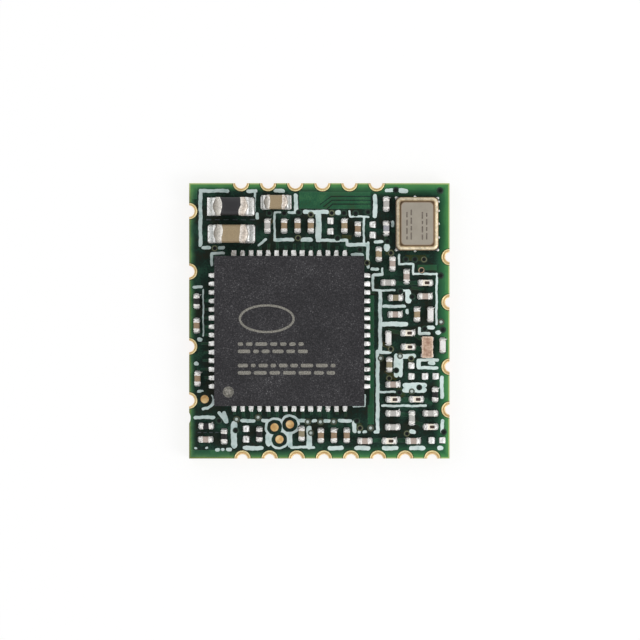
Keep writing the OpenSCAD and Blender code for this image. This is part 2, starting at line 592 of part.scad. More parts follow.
// Both joints of a two-ended part.
module part_solder(p) {
    s = p[1];
    climb = s[2] > small_h ? large_climb : small_climb;
    translate([p[3], p[4]]) rotate(p[5]) for (side = [0, 180])
        rotate(side) solder_joint(s[5], s[0] / 2, s[4], climb, s[1]);
}

// A loaf of solder on a land that carries no part.
module spare_solder(l, steps = 8) {
    arch = [for (i = [0 : steps]) let (a = 180 * i / steps)
        [spare_land / 2 * cos(a), spare_solder_h * sin(a)]];
    translate([l[0], l[1]]) rotate([90, 0, 0]) linear_extrude(spare_land, center = true) polygon(arch);
}

module solder_joints() color("silver") translate([0, 0, top_z]) {
    for (p = PARTS) part_solder(p);
    for (s = SPARES) for (l = spare_lands(s)) spare_solder(l);
    translate(chip_at) {
        each_lead() solder_joint(chip_size / 2 - lead_l, chip_size / 2, toe, lead_climb, lead_w);
        translate([-die_pad / 2, -die_pad / 2]) cube([die_pad, die_pad, solder_t]);
    }
    for (l = crystal_lands()) translate([l[0] - l[2] / 2, l[1] - l[3] / 2]) cube([l[2], l[3], solder_t]);
    for (l = diplexer_lands()) translate([l[0] - l[2] / 2, l[1] - l[3] / 2]) cube([l[2], l[3], solder_t]);
}

// ---- Radio chip ----

parts_z = top_z + solder_t; // underside of everything that is soldered on

// Every lead, drawn by its child along +X from the chip's middle.
module each_lead() {
    for (side = [0 : 90 : 270], i = [0 : leads_per_side - 1])
        rotate(side) translate([0, i * lead_pitch - lead_run / 2]) children();
}

// A lead: flat at the body's side or past it, with a round inner end.
module lead_shape(past) {
    r = lead_w / 2;
    inner = chip_size / 2 - lead_l;
    translate([inner + r, -r]) square([lead_l - r + past, lead_w]);
    translate([inner + r, 0]) circle(r = r);
}

// The thin bars that held the die pad in its frame, from its corners to the body's corners.
tie_w = 0.15; // width of a tie bar
module tie_bars(past) {
    for (turn = [45 : 90 : 315]) intersection() {
        rotate(turn) translate([die_pad / 2, -tie_w / 2]) square([chip_size, tie_w]);
        square(chip_size + 2 * past, center = true);
    }
}

// The lead frame. Its pocket in the body is cut with one that goes past the body's faces.
module lead_frame_solid(past = 0) {
    translate([0, 0, -past]) linear_extrude(frame_t + past) {
        each_lead() lead_shape(past);
        square(die_pad, center = true);
    }
    translate([0, 0, frame_t / 2]) linear_extrude(frame_t / 2) tie_bars(past);
}

module die_solid() translate([-die_size / 2, -die_size / 2, frame_t]) cube([die_size, die_size, die_t]);

module chip_body() color("dimgray") translate([chip_at.x, chip_at.y, parts_z]) difference() {
    translate([-chip_size / 2, -chip_size / 2]) cube([chip_size, chip_size, chip_h]);
    lead_frame_solid(past = slot);
    die_solid();
    translate([-lead_run / 2 - dot_r, -lead_run / 2 - dot_r, chip_h - dot_depth])
        cylinder(r = dot_r, h = dot_depth + slot);
}

module chip_lead_frame() color("silver") translate([chip_at.x, chip_at.y, parts_z]) lead_frame_solid();

module chip_die() color("slategray") translate([chip_at.x, chip_at.y, parts_z]) die_solid();

// ---- Crystal ----

floor_t = 0.12; // thickness of the ceramic floor
shelf_h = 0.06; // height of the two shelves that carry the quartz blank
lid_lap = 0.12; // width of the seal ring that the lid covers
corner_notch_r = 0.12; // radius of the quarter notch in each corner of the base
blank_gap = 0.12; // gap from the quartz blank to the wall round it
cavity_w = crystal_w - 2 * (ring_w + lid_lap);
cavity_l = crystal_l - 2 * (ring_w + lid_lap);
shelf = [0.28, 0.25]; // width and length of a shelf

module at_crystal(z) translate([crystal_at.x, crystal_at.y, parts_z + z]) children();

module crystal_base() color("wheat") at_crystal(0) {
    difference() {
        linear_extrude(crystal_base_h) difference() {
            square([crystal_w, crystal_l], center = true);
            for (x = [-1, 1], y = [-1, 1])
                translate([x * crystal_w / 2, y * crystal_l / 2]) circle(r = corner_notch_r);
        }
        translate([-cavity_w / 2, -cavity_l / 2, floor_t]) cube([cavity_w, cavity_l, crystal_base_h]);
    }
    for (side = [-1, 1])
        translate([side * (cavity_w - shelf.x) / 2 - shelf.x / 2, cavity_l / 2 - shelf.y, floor_t])
            cube([shelf.x, shelf.y, shelf_h]);
}

module crystal_seal_ring() color("burlywood") at_crystal(crystal_base_h)
    linear_extrude(ring_h) difference() {
        round_rect([crystal_w - corner_notch_r / 2, crystal_l - corner_notch_r / 2], corner_notch_r);
        square([cavity_w, cavity_l], center = true);
    }

module crystal_lid() color("darkgray") at_crystal(crystal_base_h + ring_h)
    linear_extrude(lid_t) round_rect([crystal_w - 2 * ring_w, crystal_l - 2 * ring_w], corner_notch_r);

module crystal_blank() color("lightcyan") at_crystal(floor_t + shelf_h)
    translate([-cavity_w / 2 + blank_gap, -cavity_l / 2 + blank_gap])
        cube([cavity_w - 2 * blank_gap, cavity_l - 1.5 * blank_gap, blank_t]);

// ---- Small parts ----

// A ceramic filter with three terminals wrapped round each long side.
module diplexer() translate([diplexer_at.x, diplexer_at.y, parts_z]) {
    color("rosybrown") translate([-diplexer_w / 2, -diplexer_l / 2, end_t])
        cube([diplexer_w, diplexer_l, diplexer_h - 2 * end_t]);
    color("silver") for (side = [0, 180], i = [0 : diplexer_side_pads - 1])
        rotate(side) translate([diplexer_w / 2, (i - (diplexer_side_pads - 1) / 2) * diplexer_pitch])
            diplexer_terminal();
}

// One terminal: a strip that wraps from the underside up the side and over the top.
module diplexer_terminal() {
    translate([0, diplexer_pad / 2, 0]) rotate([90, 0, 0]) linear_extrude(diplexer_pad) difference() {
        translate([-diplexer_wrap, 0]) square([diplexer_wrap + end_t, diplexer_h]);
        translate([-diplexer_wrap - slot, end_t])
            square([diplexer_wrap + slot, diplexer_h - 2 * end_t]);
    }
}

// A part with a metal cap fired onto each end: a capacitor, a resistor or an inductor.
module two_ended_part(p) {
    s = p[1];
    cut = s[2] / 10; // the tumbled edges
    translate([p[3], p[4], parts_z]) rotate(p[5]) {
        color(p[2]) translate([0, 0, end_t])
            soft_block(s[0] - 2 * s[3] + 2 * end_t, s[1] - 2 * end_t, s[2] - 2 * end_t, cut);
        color("silver") for (side = [-1, 1])
            translate([side * (s[0] - s[3]) / 2, 0, 0]) soft_block(s[3], s[1], s[2], cut);
    }
}

circuit_board();
solder_mask();
edge_contacts();
copper_lands();
test_pads();
silkscreen();
solder_joints();
chip_body();
chip_lead_frame();
chip_die();
crystal_base();
crystal_seal_ring();
crystal_lid();
crystal_blank();
diplexer();
for (p = PARTS) two_ended_part(p);
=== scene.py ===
import bmesh
import bpy
import numpy as np
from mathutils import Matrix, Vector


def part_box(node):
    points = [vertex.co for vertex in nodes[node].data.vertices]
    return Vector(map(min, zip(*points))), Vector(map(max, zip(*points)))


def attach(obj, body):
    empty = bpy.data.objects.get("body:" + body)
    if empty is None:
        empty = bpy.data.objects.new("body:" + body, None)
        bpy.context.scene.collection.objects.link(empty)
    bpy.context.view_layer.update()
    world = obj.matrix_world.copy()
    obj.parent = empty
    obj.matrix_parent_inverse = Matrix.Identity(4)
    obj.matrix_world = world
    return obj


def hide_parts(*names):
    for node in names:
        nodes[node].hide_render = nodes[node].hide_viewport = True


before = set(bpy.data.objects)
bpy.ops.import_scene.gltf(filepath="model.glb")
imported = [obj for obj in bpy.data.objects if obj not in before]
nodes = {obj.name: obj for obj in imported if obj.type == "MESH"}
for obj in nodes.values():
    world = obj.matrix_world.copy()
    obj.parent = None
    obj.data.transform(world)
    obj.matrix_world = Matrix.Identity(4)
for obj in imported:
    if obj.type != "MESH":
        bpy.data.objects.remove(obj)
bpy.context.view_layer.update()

# ---- Laminate -----------------------------------------------------------------------------
# The board itself: woven glass cloth in pressed epoxy, 0.8 mm thick, drilled and then routed
# out of its panel. Only its sawn edges and the rims of the openings in the lacquer show.

MM = 0.001


def material(name, build, **values):
    """A new material. Its shader gets the plain values, and build links the rest to it."""
    made = bpy.data.materials.new(name)
    made.use_nodes = True
    tree = made.node_tree
    shader = tree.nodes["Principled BSDF"]
    for socket, value in values.items():
        shader.inputs[socket.replace("_", " ")].default_value = value
    build(tree, shader)
    return made


def colour(red, green, blue):
    """A colour written as it looks on a screen, 0 to 255, in Blender's linear light."""
    screen = np.array([red, green, blue]) / 255
    linear = np.where(screen <= 0.04045, screen / 12.92, ((screen + 0.055) / 1.055) ** 2.4)
    return (*linear, 1)


def colours(*shades):
    """A list of colours, each given as its three numbers on a screen."""
    return [colour(*shade) for shade in shades]


def millimetres(tree):
    """The place on the object in millimetres, as a vector output."""
    place = tree.nodes.new("ShaderNodeTexCoord")
    scale = tree.nodes.new("ShaderNodeVectorMath")
    scale.operation = "SCALE"
    scale.inputs["Scale"].default_value = 1 / MM
    tree.links.new(place.outputs["Object"], scale.inputs[0])
    return scale.outputs[0]


def noise(tree, place, size, detail=3.0, rough=0.55, stretch=(1, 1, 1)):
    """Cloudy noise whose spots are about size millimetres across, from 0 to 1."""
    mapping = tree.nodes.new("ShaderNodeMapping")
    mapping.inputs["Scale"].default_value = stretch
    made = tree.nodes.new("ShaderNodeTexNoise")
    made.inputs["Scale"].default_value = 1 / size
    made.inputs["Detail"].default_value = detail
    made.inputs["Roughness"].default_value = rough
    tree.links.new(place, mapping.inputs["Vector"])
    tree.links.new(mapping.outputs[0], made.inputs["Vector"])
    return made.outputs["Fac"]


def ramp(tree, value, *stops):
    """Colours along a value. A stop is a place, then a colour or a screen's three numbers."""
    made = tree.nodes.new("ShaderNodeValToRGB")
    for _ in stops[2:]:
        made.color_ramp.elements.new(0.5)
    for element, (place, *shade) in zip(made.color_ramp.elements, stops):
        element.position = place
        element.color = colour(*shade) if len(shade) == 3 else shade[0]
    tree.links.new(value, made.inputs["Fac"])
    return made.outputs["Color"]


def calculate(tree, operation, *values):
    """One Math node. A value is a number or another node's output."""
    made = tree.nodes.new("ShaderNodeMath")
    made.operation = operation
    for socket, value in zip(made.inputs, values):
        if isinstance(value, (int, float)):
            socket.default_value = value
        else:
            tree.links.new(value, socket)
    return made.outputs[0]


def blended(tree, share, first, second):
    """A mix of two colours: first where share is 0, second where it is 1."""
    made = tree.nodes.new("ShaderNodeMix")
    made.data_type = "RGBA"
    for socket, value in zip((made.inputs[0], made.inputs[6], made.inputs[7]), (share, first, second)):
        if isinstance(value, (int, float, tuple)):
            socket.default_value = value
        else:
            tree.links.new(value, socket)
    return made.outputs[2]


def bump(tree, shader, height, strength, depth):
    """Bump of the given depth in millimetres where height runs from 0 to 1."""
    made = tree.nodes.new("ShaderNodeBump")
    made.inputs["Strength"].default_value = strength
    made.inputs["Distance"].default_value = depth * MM
    tree.links.new(height, made.inputs["Height"])
    tree.links.new(made.outputs[0], shader.inputs["Normal"])


def coat(tree, shader, shade):
    """The surface's colour, from a node's output."""
    tree.links.new(shade, shader.inputs["Base Color"])


def roughen(tree, shader, grain, span, lowest):
    """Roughness that rises with the grain, from lowest and by span."""
    tree.links.new(calculate(tree, "MULTIPLY_ADD", grain, span, lowest), shader.inputs["Roughness"])


def level(tree):
    """1 where a face looks straight up or down, and 0 where it stands upright."""
    facing = tree.nodes.new("ShaderNodeNewGeometry")
    split = tree.nodes.new("ShaderNodeSeparateXYZ")
    tree.links.new(facing.outputs["Normal"], split.inputs[0])
    return calculate(tree, "ABSOLUTE", split.outputs[2])


def laminate_look(tree, shader):
    """Straw-coloured resin over cloth on the edges, and dark under the lacquer."""
    place = millimetres(tree)
    cloth = noise(tree, place, 0.5, stretch=(1, 1, 9))
    resin = noise(tree, place, 0.08, detail=4)
    mixed = calculate(tree, "MULTIPLY_ADD", resin, 0.4, calculate(tree, "MULTIPLY", cloth, 0.6))
    shade = ramp(tree, mixed, (0.35, 140, 138, 80), (0.5, 172, 168, 104), (0.62, 204, 198, 138))
    coat(tree, shader, blended(tree, level(tree), shade, colour(26, 32, 24)))
    bump(tree, shader, resin, 0.5, 0.01)


def paint(node, look):
    """Gives a CAD node one material."""
    nodes[node].data.materials.clear()
    nodes[node].data.materials.append(look)


paint("circuit_board", material("laminate", laminate_look, Roughness=0.6))

# ---- Solder mask --------------------------------------------------------------------------
# Green lacquer, flooded over both faces and opened over every land by light. It looks dark
# over bare laminate and brighter where copper lies under it. At the board's rim it carries a
# painted glow, as if light came in through the laminate, paler on the east side where the lamp falls.

half_width, half_length = (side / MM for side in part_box("circuit_board")[1][:2])
mask_low, mask_top = (corner.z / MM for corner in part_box("solder_mask"))


def box_of(node):
    """The middle, the size and the turn of a part, from its CAD box, in millimetres."""
    low, high = (np.array(corner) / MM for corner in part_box(node))
    size = high - low
    turn = 90 if size[1] > size[0] else 0
    return (low + high) / 2, size, turn


def top_of(node):
    """The height of a part's top, in millimetres."""
    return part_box(node)[1].z / MM


def islands(node):
    """The lowest and highest corner of each separate solid of a CAD node, in millimetres."""
    mesh = nodes[node].data
    points = np.empty(len(mesh.vertices) * 3, np.float32)
    mesh.vertices.foreach_get("co", points)
    points = points.reshape(-1, 3) / MM
    _, same = np.unique(points.round(4), axis=0, return_inverse=True)
    edges = np.empty(len(mesh.edges) * 2, np.int32)
    mesh.edges.foreach_get("vertices", edges)
    one, other = same.ravel()[edges.reshape(-1, 2)].T
    label = np.arange(same.max() + 1)
    while np.any(label[one] != label[other]):
        lowest = np.minimum(label[one], label[other])
        np.minimum.at(label, one, lowest)
        np.minimum.at(label, other, lowest)
    found, solid = np.unique(label[same.ravel()], return_inverse=True)
    low, high = np.full((len(found), 3), np.inf), np.full((len(found), 3), -np.inf)
    np.minimum.at(low, solid.ravel(), points)
    np.maximum.at(high, solid.ravel(), points)
    return low, high


def rim_distance(tree, place):
    """How far a point is from the board's nearest edge, east and north, in millimetres."""
    split = tree.nodes.new("ShaderNodeSeparateXYZ")
    tree.links.new(place, split.inputs[0])
    across = calculate(tree, "SUBTRACT", half_width, calculate(tree, "ABSOLUTE", split.outputs[0]))
    along = calculate(tree, "SUBTRACT", half_length, calculate(tree, "ABSOLUTE", split.outputs[1]))
    return calculate(tree, "MINIMUM", across, along), split.outputs[0], split.outputs[1]


def lacquer_look(brown, dark, light, rim_reach):
    """Lacquer of three tones, with a painted glow at the rim reaching inwards by rim_reach. The
    painted glow is olive in the west and south, and a fresher green in the east, on the lamp's
    side, and along the north. A thin line of painted light runs along the very edge, brightest in the east."""

    def build(tree, shader):
        place = millimetres(tree)
        clouds = noise(tree, place, 0.9, detail=4)
        grain = noise(tree, place, 0.06, detail=2)
        mixed = calculate(tree, "MULTIPLY_ADD", grain, 0.35, calculate(tree, "MULTIPLY", clouds, 0.65))
        field = ramp(tree, mixed, (0.4, brown), (0.5, dark), (0.62, light))
        distance, east, north = rim_distance(tree, place)
        share = calculate(tree, "MAXIMUM", calculate(tree, "MULTIPLY_ADD", east, 0.5 / half_width, 0.5),
                          calculate(tree, "MULTIPLY_ADD", north, 1.4, 0.9 - 1.4 * half_length))
        reach = calculate(tree, "MULTIPLY_ADD", share, rim_reach, 0.6 * rim_reach)
        wobble = calculate(tree, "MULTIPLY_ADD", clouds, 0.3, -0.15)
        depth = calculate(tree, "DIVIDE", calculate(tree, "ADD", distance, wobble), reach)
        # Painted glow at the rim, and below it a line of painted light at the very edge.
        west_painted_glow = ramp(tree, depth, (0.0, 100, 142, 84), (0.4, 70, 112, 76), (1.0, 42, 80, 62))
        east_painted_glow = ramp(tree, depth, (0.0, 84, 150, 86), (0.35, 56, 116, 74), (1.0, 40, 84, 64))
        glow = blended(tree, share, west_painted_glow, east_painted_glow)
        painted_glow_reach = ramp(tree, depth, (0.25, (1, 1, 1, 1)), (1.0, (0, 0, 0, 1)))
        inner = blended(tree, painted_glow_reach, field, glow)
        edge = ramp(tree, distance, (0.02, (1, 1, 1, 1)), (0.08, (0, 0, 0, 1)))
        painted_edge_light = blended(tree, share, colour(120, 124, 64), colour(186, 200, 132))
        coat(tree, shader, blended(tree, edge, inner, painted_edge_light))
        bump(tree, shader, grain, 0.25, 0.006)

    return build


mask_look = material(
    "mask_on_laminate", lacquer_look(colour(38, 42, 34), colour(30, 47, 41), colour(42, 72, 58), 0.5),
    Roughness=0.2, Specular_IOR_Level=0.3)
copper_mask_look = material(
    "mask_on_copper", lacquer_look(colour(52, 82, 56), colour(42, 88, 64), colour(60, 106, 72), 0.6),
    Roughness=0.2, Specular_IOR_Level=0.3)
paint("solder_mask", mask_look)

# ---- Copper under the mask ----------------------------------------------------------------
# Etched 35 micron copper that the lacquer covers: the ground pour round the rim and under the
# top edge, and the traces that leave the chip. Each shows as a low, brighter green ridge.

rng = np.random.default_rng(7)
TRACE_RISE = 0.008


def grid_faces(copies, rows, columns):
    """Quads of several grids of rows by columns points, each closed round its columns."""
    row, column = np.meshgrid(np.arange(rows - 1), np.arange(columns), indexing="ij")
    following = (column + 1) % columns
    quads = np.stack([row * columns + column, row * columns + following,
                      (row + 1) * columns + following, (row + 1) * columns + column], axis=-1)
    starts = np.arange(copies)[:, None, None] * rows * columns
    return (quads.reshape(1, -1, 4) + starts).reshape(-1, 4)


def piece(name, points, looks, stands_for=(), face_look=None, tints=None, smooth=True):
    """A mesh from grids of points in millimetres, shaped (copies, rows, columns, 3).

    Each row is a closed ring, and first and last rows that shrink to a point close the ends.
    face_look gives the index of each face's look, and tints a colour for each point.
    """
    copies, rows, columns = points.shape[:3]
    mesh = bpy.data.meshes.new(name)
    quads = grid_faces(copies, rows, columns)
    mesh.from_pydata(points.reshape(-1, 3) * MM, [], quads)
    for look in looks:
        mesh.materials.append(look)
    if face_look is not None:
        wanted = np.broadcast_to(face_look, (copies, rows - 1, columns)).astype(np.int32)
        mesh.polygons.foreach_set("material_index", wanted.ravel())
    if tints is not None:
        shades = mesh.color_attributes.new("tint", "FLOAT_COLOR", "POINT")
        shades.data.foreach_set("color", np.broadcast_to(tints, (*points.shape[:3], 4)).ravel())
    mesh.polygons.foreach_set("use_smooth", np.full(len(mesh.polygons), smooth))
    shape = bmesh.new()
    shape.from_mesh(mesh)
    bmesh.ops.remove_doubles(shape, verts=shape.verts, dist=1e-5 * MM)
    bmesh.ops.recalc_face_normals(shape, faces=shape.faces)
    shape.to_mesh(mesh)
    shape.free()
    made = bpy.data.objects.new(name, mesh)
    bpy.context.scene.collection.objects.link(made)
    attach(made, "root")
    if stands_for:
        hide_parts(*stands_for)
    return made


def set_down(points, places, turns):
    """Turns each copy about Z by its turn in degrees, and moves it to its place."""
    angle = np.radians(np.array(turns, float))[:, None, None]
    east = points[..., 0] * np.cos(angle) - points[..., 1] * np.sin(angle)
    north = points[..., 0] * np.sin(angle) + points[..., 1] * np.cos(angle)
    places = np.array(places, float)[:, None, None]
    return np.stack([east + places[..., 0], north + places[..., 1], points[..., 2]], axis=-1)


def repeated(shape, count):
    """One grid of points, count times over."""
    return np.broadcast_to(shape, (count, *shape.shape)).copy()


def ribbon(width, route, rise):
    """A low ridge along a route: a flat top with sloping sides, closed at both ends."""
    route = np.array(route, float)
    legs = np.diff(route, axis=0)
    legs /= np.linalg.norm(legs, axis=1, keepdims=True)
    before, after = np.vstack([legs[:1], legs]), np.vstack([legs, legs[-1:]])
    middle = before + after
    middle /= np.linalg.norm(middle, axis=1, keepdims=True)
    sideways = np.stack([-middle[:, 1], middle[:, 0]], axis=1) / (middle * after).sum(1)[:, None]
    slope = min(0.02, width / 4)
    across = np.array([-width / 2, -width / 2 + slope, width / 2 - slope, width / 2])
    up = np.array([0, rise, rise, 0])
    flat = route[:, None] + sideways[:, None] * across[None, :, None]
    points = np.concatenate([flat, np.broadcast_to(mask_top + up, flat.shape[:2])[..., None]], axis=-1)
    return np.concatenate([points[:1].mean(1, keepdims=True).repeat(4, 1), points,
                           points[-1:].mean(1, keepdims=True).repeat(4, 1)])


def ribbons(name, routes, look, layers=1.0):
    """Several ribbons as one piece, layers times as high as one trace. Each gets the same
    number of points along its route."""
    longest = max(len(route) for _, route in routes) + 2
    rises = TRACE_RISE * (layers + 0.5 * np.arange(len(routes)) / len(routes))
    shapes = [ribbon(width, route, rise) for (width, route), rise in zip(routes, rises)]
    padded = [np.concatenate([shape, shape[-1:].repeat(longest - len(shape), 0)]) for shape in shapes]
    return piece(name, np.array(padded), [look], smooth=False)


# Broad areas of the ground pour, as a width and a route, clear of the edge contacts.
POURS = [
    (0.8, [(-0.95, 5.66), (-0.1, 5.66)]), (0.8, [(-0.1, 5.64), (2.4, 5.64)]),
    (0.16, [(5.97, 3.6), (5.97, 6.3)]), (0.26, [(3.95, 6.24), (5.4, 6.24)]),
    (0.16, [(5.97, 1.4), (5.97, 2.3)]), (0.24, [(-5.85, 5.7), (-5.85, 6.3)]),
    (0.22, [(2.45, 1.2), (2.45, -3.95)]), (0.3, [(2.41, -3.95), (2.41, -4.85)]),
    (0.2, [(5.9, -2.7), (5.9, -3.5)]), (0.14, [(5.98, -4.7), (5.98, -6.2)]),
    (0.26, [(4.6, 2.5), (5.5, 2.5)]), (0.3, [(-6.04, -6.2), (-4.2, -6.2)]),
]
# Traces: the fan-out of the chip's leads, and the short lines between parts.
TRACES = [(0.14, [(2.2, 2.14 - 0.4 * i), (2.6, 2.14 - 0.4 * i)]) for i in range(1, 14)]
TRACES += [(0.14, [(-3.97 + 0.4 * i, 3.2), (-3.97 + 0.4 * i, 3.5 + 0.12 * (i % 3))]) for i in range(3, 14)]
TRACES += [(0.14, [(-3.97 + 0.4 * i, -4.2), (-3.97 + 0.4 * i, -4.4 - 0.1 * (i % 3))]) for i in range(14)]
TRACES += [(0.12, [(-5.1, 2.14 - 0.4 * i), (-5.4 - 0.08 * (i % 3), 2.14 - 0.4 * i)]) for i in range(3, 13)]
TRACES += [
    (0.14, [(2.95, 4.3), (3.12, 3.9), (3.12, 3.5)]), (0.16, [(4.3, 1.55), (4.7, 1.5), (4.9, 1.5)]),
    (0.2, [(3.55, 1.75), (4.6, 1.78)]), (0.2, [(3.2, -0.45), (4.1, -0.6)]),
    (0.2, [(4.4, -0.6), (4.85, -0.9)]), (0.2, [(4.4, -1.2), (4.85, -1.35)]),
    (0.22, [(3.75, -3.7), (4.3, -3.68)]), (0.22, [(4.85, -3.65), (5.3, -3.9)]),
    (0.2, [(3.75, -4.35), (4.3, -4.45)]), (0.2, [(4.4, -4.7), (5.0, -4.95)]),
    (0.2, [(3.6, -5.6), (4.1, -5.6)]), (0.2, [(2.4, -5.6), (3.0, -5.6)]),
]
# Where the lacquer ran thin beside some vias, the copper shows brown through it.
THIN_LACQUER = [(0.28, [(4.02, 2.95), (4.98, 2.95)]), (0.24, [(3.08, 3.2), (3.42, 3.24)]),
                (0.2, [(1.05, 3.95), (1.5, 3.9)]), (0.22, [(2.75, -0.98), (3.25, -1.2)]),
                (0.22, [(3.1, -2.3), (3.6, -2.75)]), (0.22, [(3.7, -3.1), (3.95, -3.55)]),
                (0.2, [(1.55, -4.75), (1.95, -4.9)]), (0.2, [(-2.5, 4.35), (-2.2, 4.75)])]
thin_look = material(
    "thin_mask", lacquer_look(colour(70, 62, 34), colour(58, 60, 36), colour(52, 72, 46), 0.5),
    Roughness=0.2, Specular_IOR_Level=0.3)
# Faint grey strokes of one length, in two rows: (width, y, from x, to x, stroke). The north row,
# between the big parts, is partly a painted reflection in the lacquer, and the rest is thin ink.
INK_AND_REFLECTION = [(width, [(x, y), (x + stroke, y)]) for width, y, start, stop, stroke in
            ((0.06, 4.74, -5.3, -3.1, 0.24), (0.05, -5.23, -5.7, -4.85, 0.16))
            for x in np.arange(start, stop, 1.7 * stroke)]
# Gaps between three traces that share the pour's top edge, and turn down towards the chip.
GAPS = [(0.07, [(0.02 + 0.17 * i, 5.44 - 0.1 * i), (0.56 + 0.03 * i, 5.83 - 0.18 * i),
                (2.4, 5.83 - 0.18 * i)]) for i in range(3)]
ribbons("ground_pour", POURS, copper_mask_look)
ribbons("thin_lacquer", THIN_LACQUER, thin_look)
ribbons("ink_and_reflection", INK_AND_REFLECTION, material(
    "ink_and_reflection", lacquer_look(colour(60, 66, 74), colour(54, 66, 68), colour(74, 92, 90), 0.3), Roughness=0.4))
ribbons("trace_gaps", GAPS, mask_look, 1.8)
ribbons("traces", TRACES, material(
    "mask_on_traces", lacquer_look(colour(46, 64, 46), colour(36, 67, 53), colour(50, 88, 66), 0.5),
    Roughness=0.2, Specular_IOR_Level=0.3))

# ---- Vias ---------------------------------------------------------------------------------
# Small drilled and plated holes that join the copper layers. Lacquer plugs them, so most show
# as a shallow pit in a thin raised ring, whose near-black is painted shade. Some rings are paler,
# and ink has filled some pits.

def rings_at(places, radii, heights, columns=20):
    """A surface of revolution at each place: radii and heights give its profile."""
    turn = np.linspace(0, 2 * np.pi, columns, endpoint=False)
    around = np.stack([np.cos(turn), np.sin(turn)], axis=-1)
    flat = np.array(places)[:, None, None] + np.array(radii)[:, None, None] * around
    up = np.broadcast_to(np.array(heights)[:, None], flat.shape[:3])
    return np.concatenate([flat, up[..., None]], axis=-1)


def tinted_look(roughness_low, roughness_high, spot, depth, darkest=0.8):
    """Reads the piece's tint, which on some pieces holds painted shade and highlight, with grain in
    its shade and its roughness.
    """

    def build(tree, shader):
        tint = tree.nodes.new("ShaderNodeAttribute")
        tint.attribute_name = "tint"
        place = millimetres(tree)
        grain = noise(tree, place, spot, detail=3)
        dull = ramp(tree, grain, (0.35, (darkest, darkest, darkest, 1)), (0.6, (1.1, 1.1, 1.1, 1)))
        mix = tree.nodes.new("ShaderNodeVectorMath")
        mix.operation = "MULTIPLY"
        tree.links.new(tint.outputs["Color"], mix.inputs[0])
        tree.links.new(dull, mix.inputs[1])
        coat(tree, shader, mix.outputs[0])
        roughen(tree, shader, grain, roughness_high - roughness_low, roughness_low)
        bump(tree, shader, grain, 0.6, depth)

    return build


low, high = islands("solder_mask")
plugs = np.flatnonzero(high[:, 2] - low[:, 2] > 0.2)
all_places = (low[plugs, :2] + high[plugs, :2]) / 2
under_chip = np.all(np.abs(all_places - box_of("chip_body")[0][:2]) < 3, axis=1)
via_places = all_places[~under_chip]
# From the middle of the pit outwards and down into the lacquer: distance and height. The pit
# stays above the traces that run into it.
VIA_PROFILE = np.array([(0.0, 0.014), (0.06, 0.015), (0.085, 0.017), (0.1, 0.022), (0.12, 0.023),
                        (0.135, 0.019), (0.165, 0.001), (0.175, -0.005), (0.0, -0.02)])
via_look = material("plugged_via", tinted_look(0.3, 0.6, 0.04, 0.006), Specular_IOR_Level=0.3)
# The pits' near-black is painted shade; the plug itself is barely dished.
pit_shade, lip = colour(6, 12, 11), colour(30, 56, 42)
ink_share = np.where(via_places[:, 0] < 2, 0.6, 0.14) * (via_places[:, 1] < 0)
inked = rng.random(len(via_places)) < ink_share
kind = np.where(inked, 2, rng.choice(2, len(via_places), p=[0.6, 0.4]))
for name, number, middle, rim, halo in (
        ("vias", 0, pit_shade, lip, lip), ("pale_vias", 1, pit_shade, colour(104, 112, 86), colour(74, 72, 42)),
        ("inked_vias", 2, colour(196, 208, 202), colour(78, 94, 82), colour(84, 78, 50))):
    tints = np.array([middle, middle, pit_shade, rim, rim, halo, lip, lip, lip])[None, :, None]
    points = rings_at(via_places[kind == number], VIA_PROFILE[:, 0], mask_top + VIA_PROFILE[:, 1])
    piece(name, points, [via_look], tints=tints)
# One via near the crystal was left open, and shows its plated ring.
OPEN_VIA = (4.78, 2.37)
tints = np.array([pit_shade, pit_shade, pit_shade, colour(206, 176, 150), colour(186, 150, 122), lip, lip, lip, lip])
piece("open_via", rings_at([OPEN_VIA], VIA_PROFILE[:, 0] * 1.1, mask_top + VIA_PROFILE[:, 1]),
      [via_look], tints=tints[None, :, None])
# The underside shows the same pits, and those under the chip, in flatter rings.
tints = np.array([pit_shade, pit_shade, pit_shade, lip, colour(52, 88, 62), lip, lip, lip, lip])[None, :, None]
points = rings_at(all_places, VIA_PROFILE[:, 0], mask_low - 0.2 * VIA_PROFILE[:, 1])
piece("underside_vias", points, [via_look], tints=tints)

# ---- Edge contacts and test pads ----------------------------------------------------------
# Holes that were drilled, plated with copper, nickel and gold, and then cut in half by the
# router. The plating rolls over the rim of each hole, and its barrel runs down to the
# underside. The round test pads have the same plating.


def gold_look(tree, shader):
    """Thin gold over nickel, cloudy and a little dull."""
    place = millimetres(tree)
    clouds = noise(tree, place, 0.25, detail=3)
    grain = noise(tree, place, 0.03, detail=2)
    shade = ramp(tree, clouds, (0.35, 210, 164, 102), (0.5, 232, 192, 130), (0.68, 246, 216, 162))
    coat(tree, shader, shade)
    roughen(tree, shader, grain, 0.2, 0.32)
    bump(tree, shader, grain, 0.3, 0.004)


paint("edge_contacts", material("gold_plate", gold_look, Metallic=0.5))
paint("test_pads", material("pad_plate", gold_look, Metallic=0.2))

CONTACT_PITCH = 1.27
HOLE_OUT = 0.03
north_row = [(-3.67 + CONTACT_PITCH * i, half_length, 180) for i in range(6)]
south_row = [(-3.6 + CONTACT_PITCH * i, -half_length, 0) for i in range(8)]
west_row = [(-half_width, half_length - down, -90) for down in (1.31, 4.14, 7.65, 10.18)]
east_row = [(half_width, half_length - down, 90) for down in (3.46, 5.58, 8.6, 10.61)]

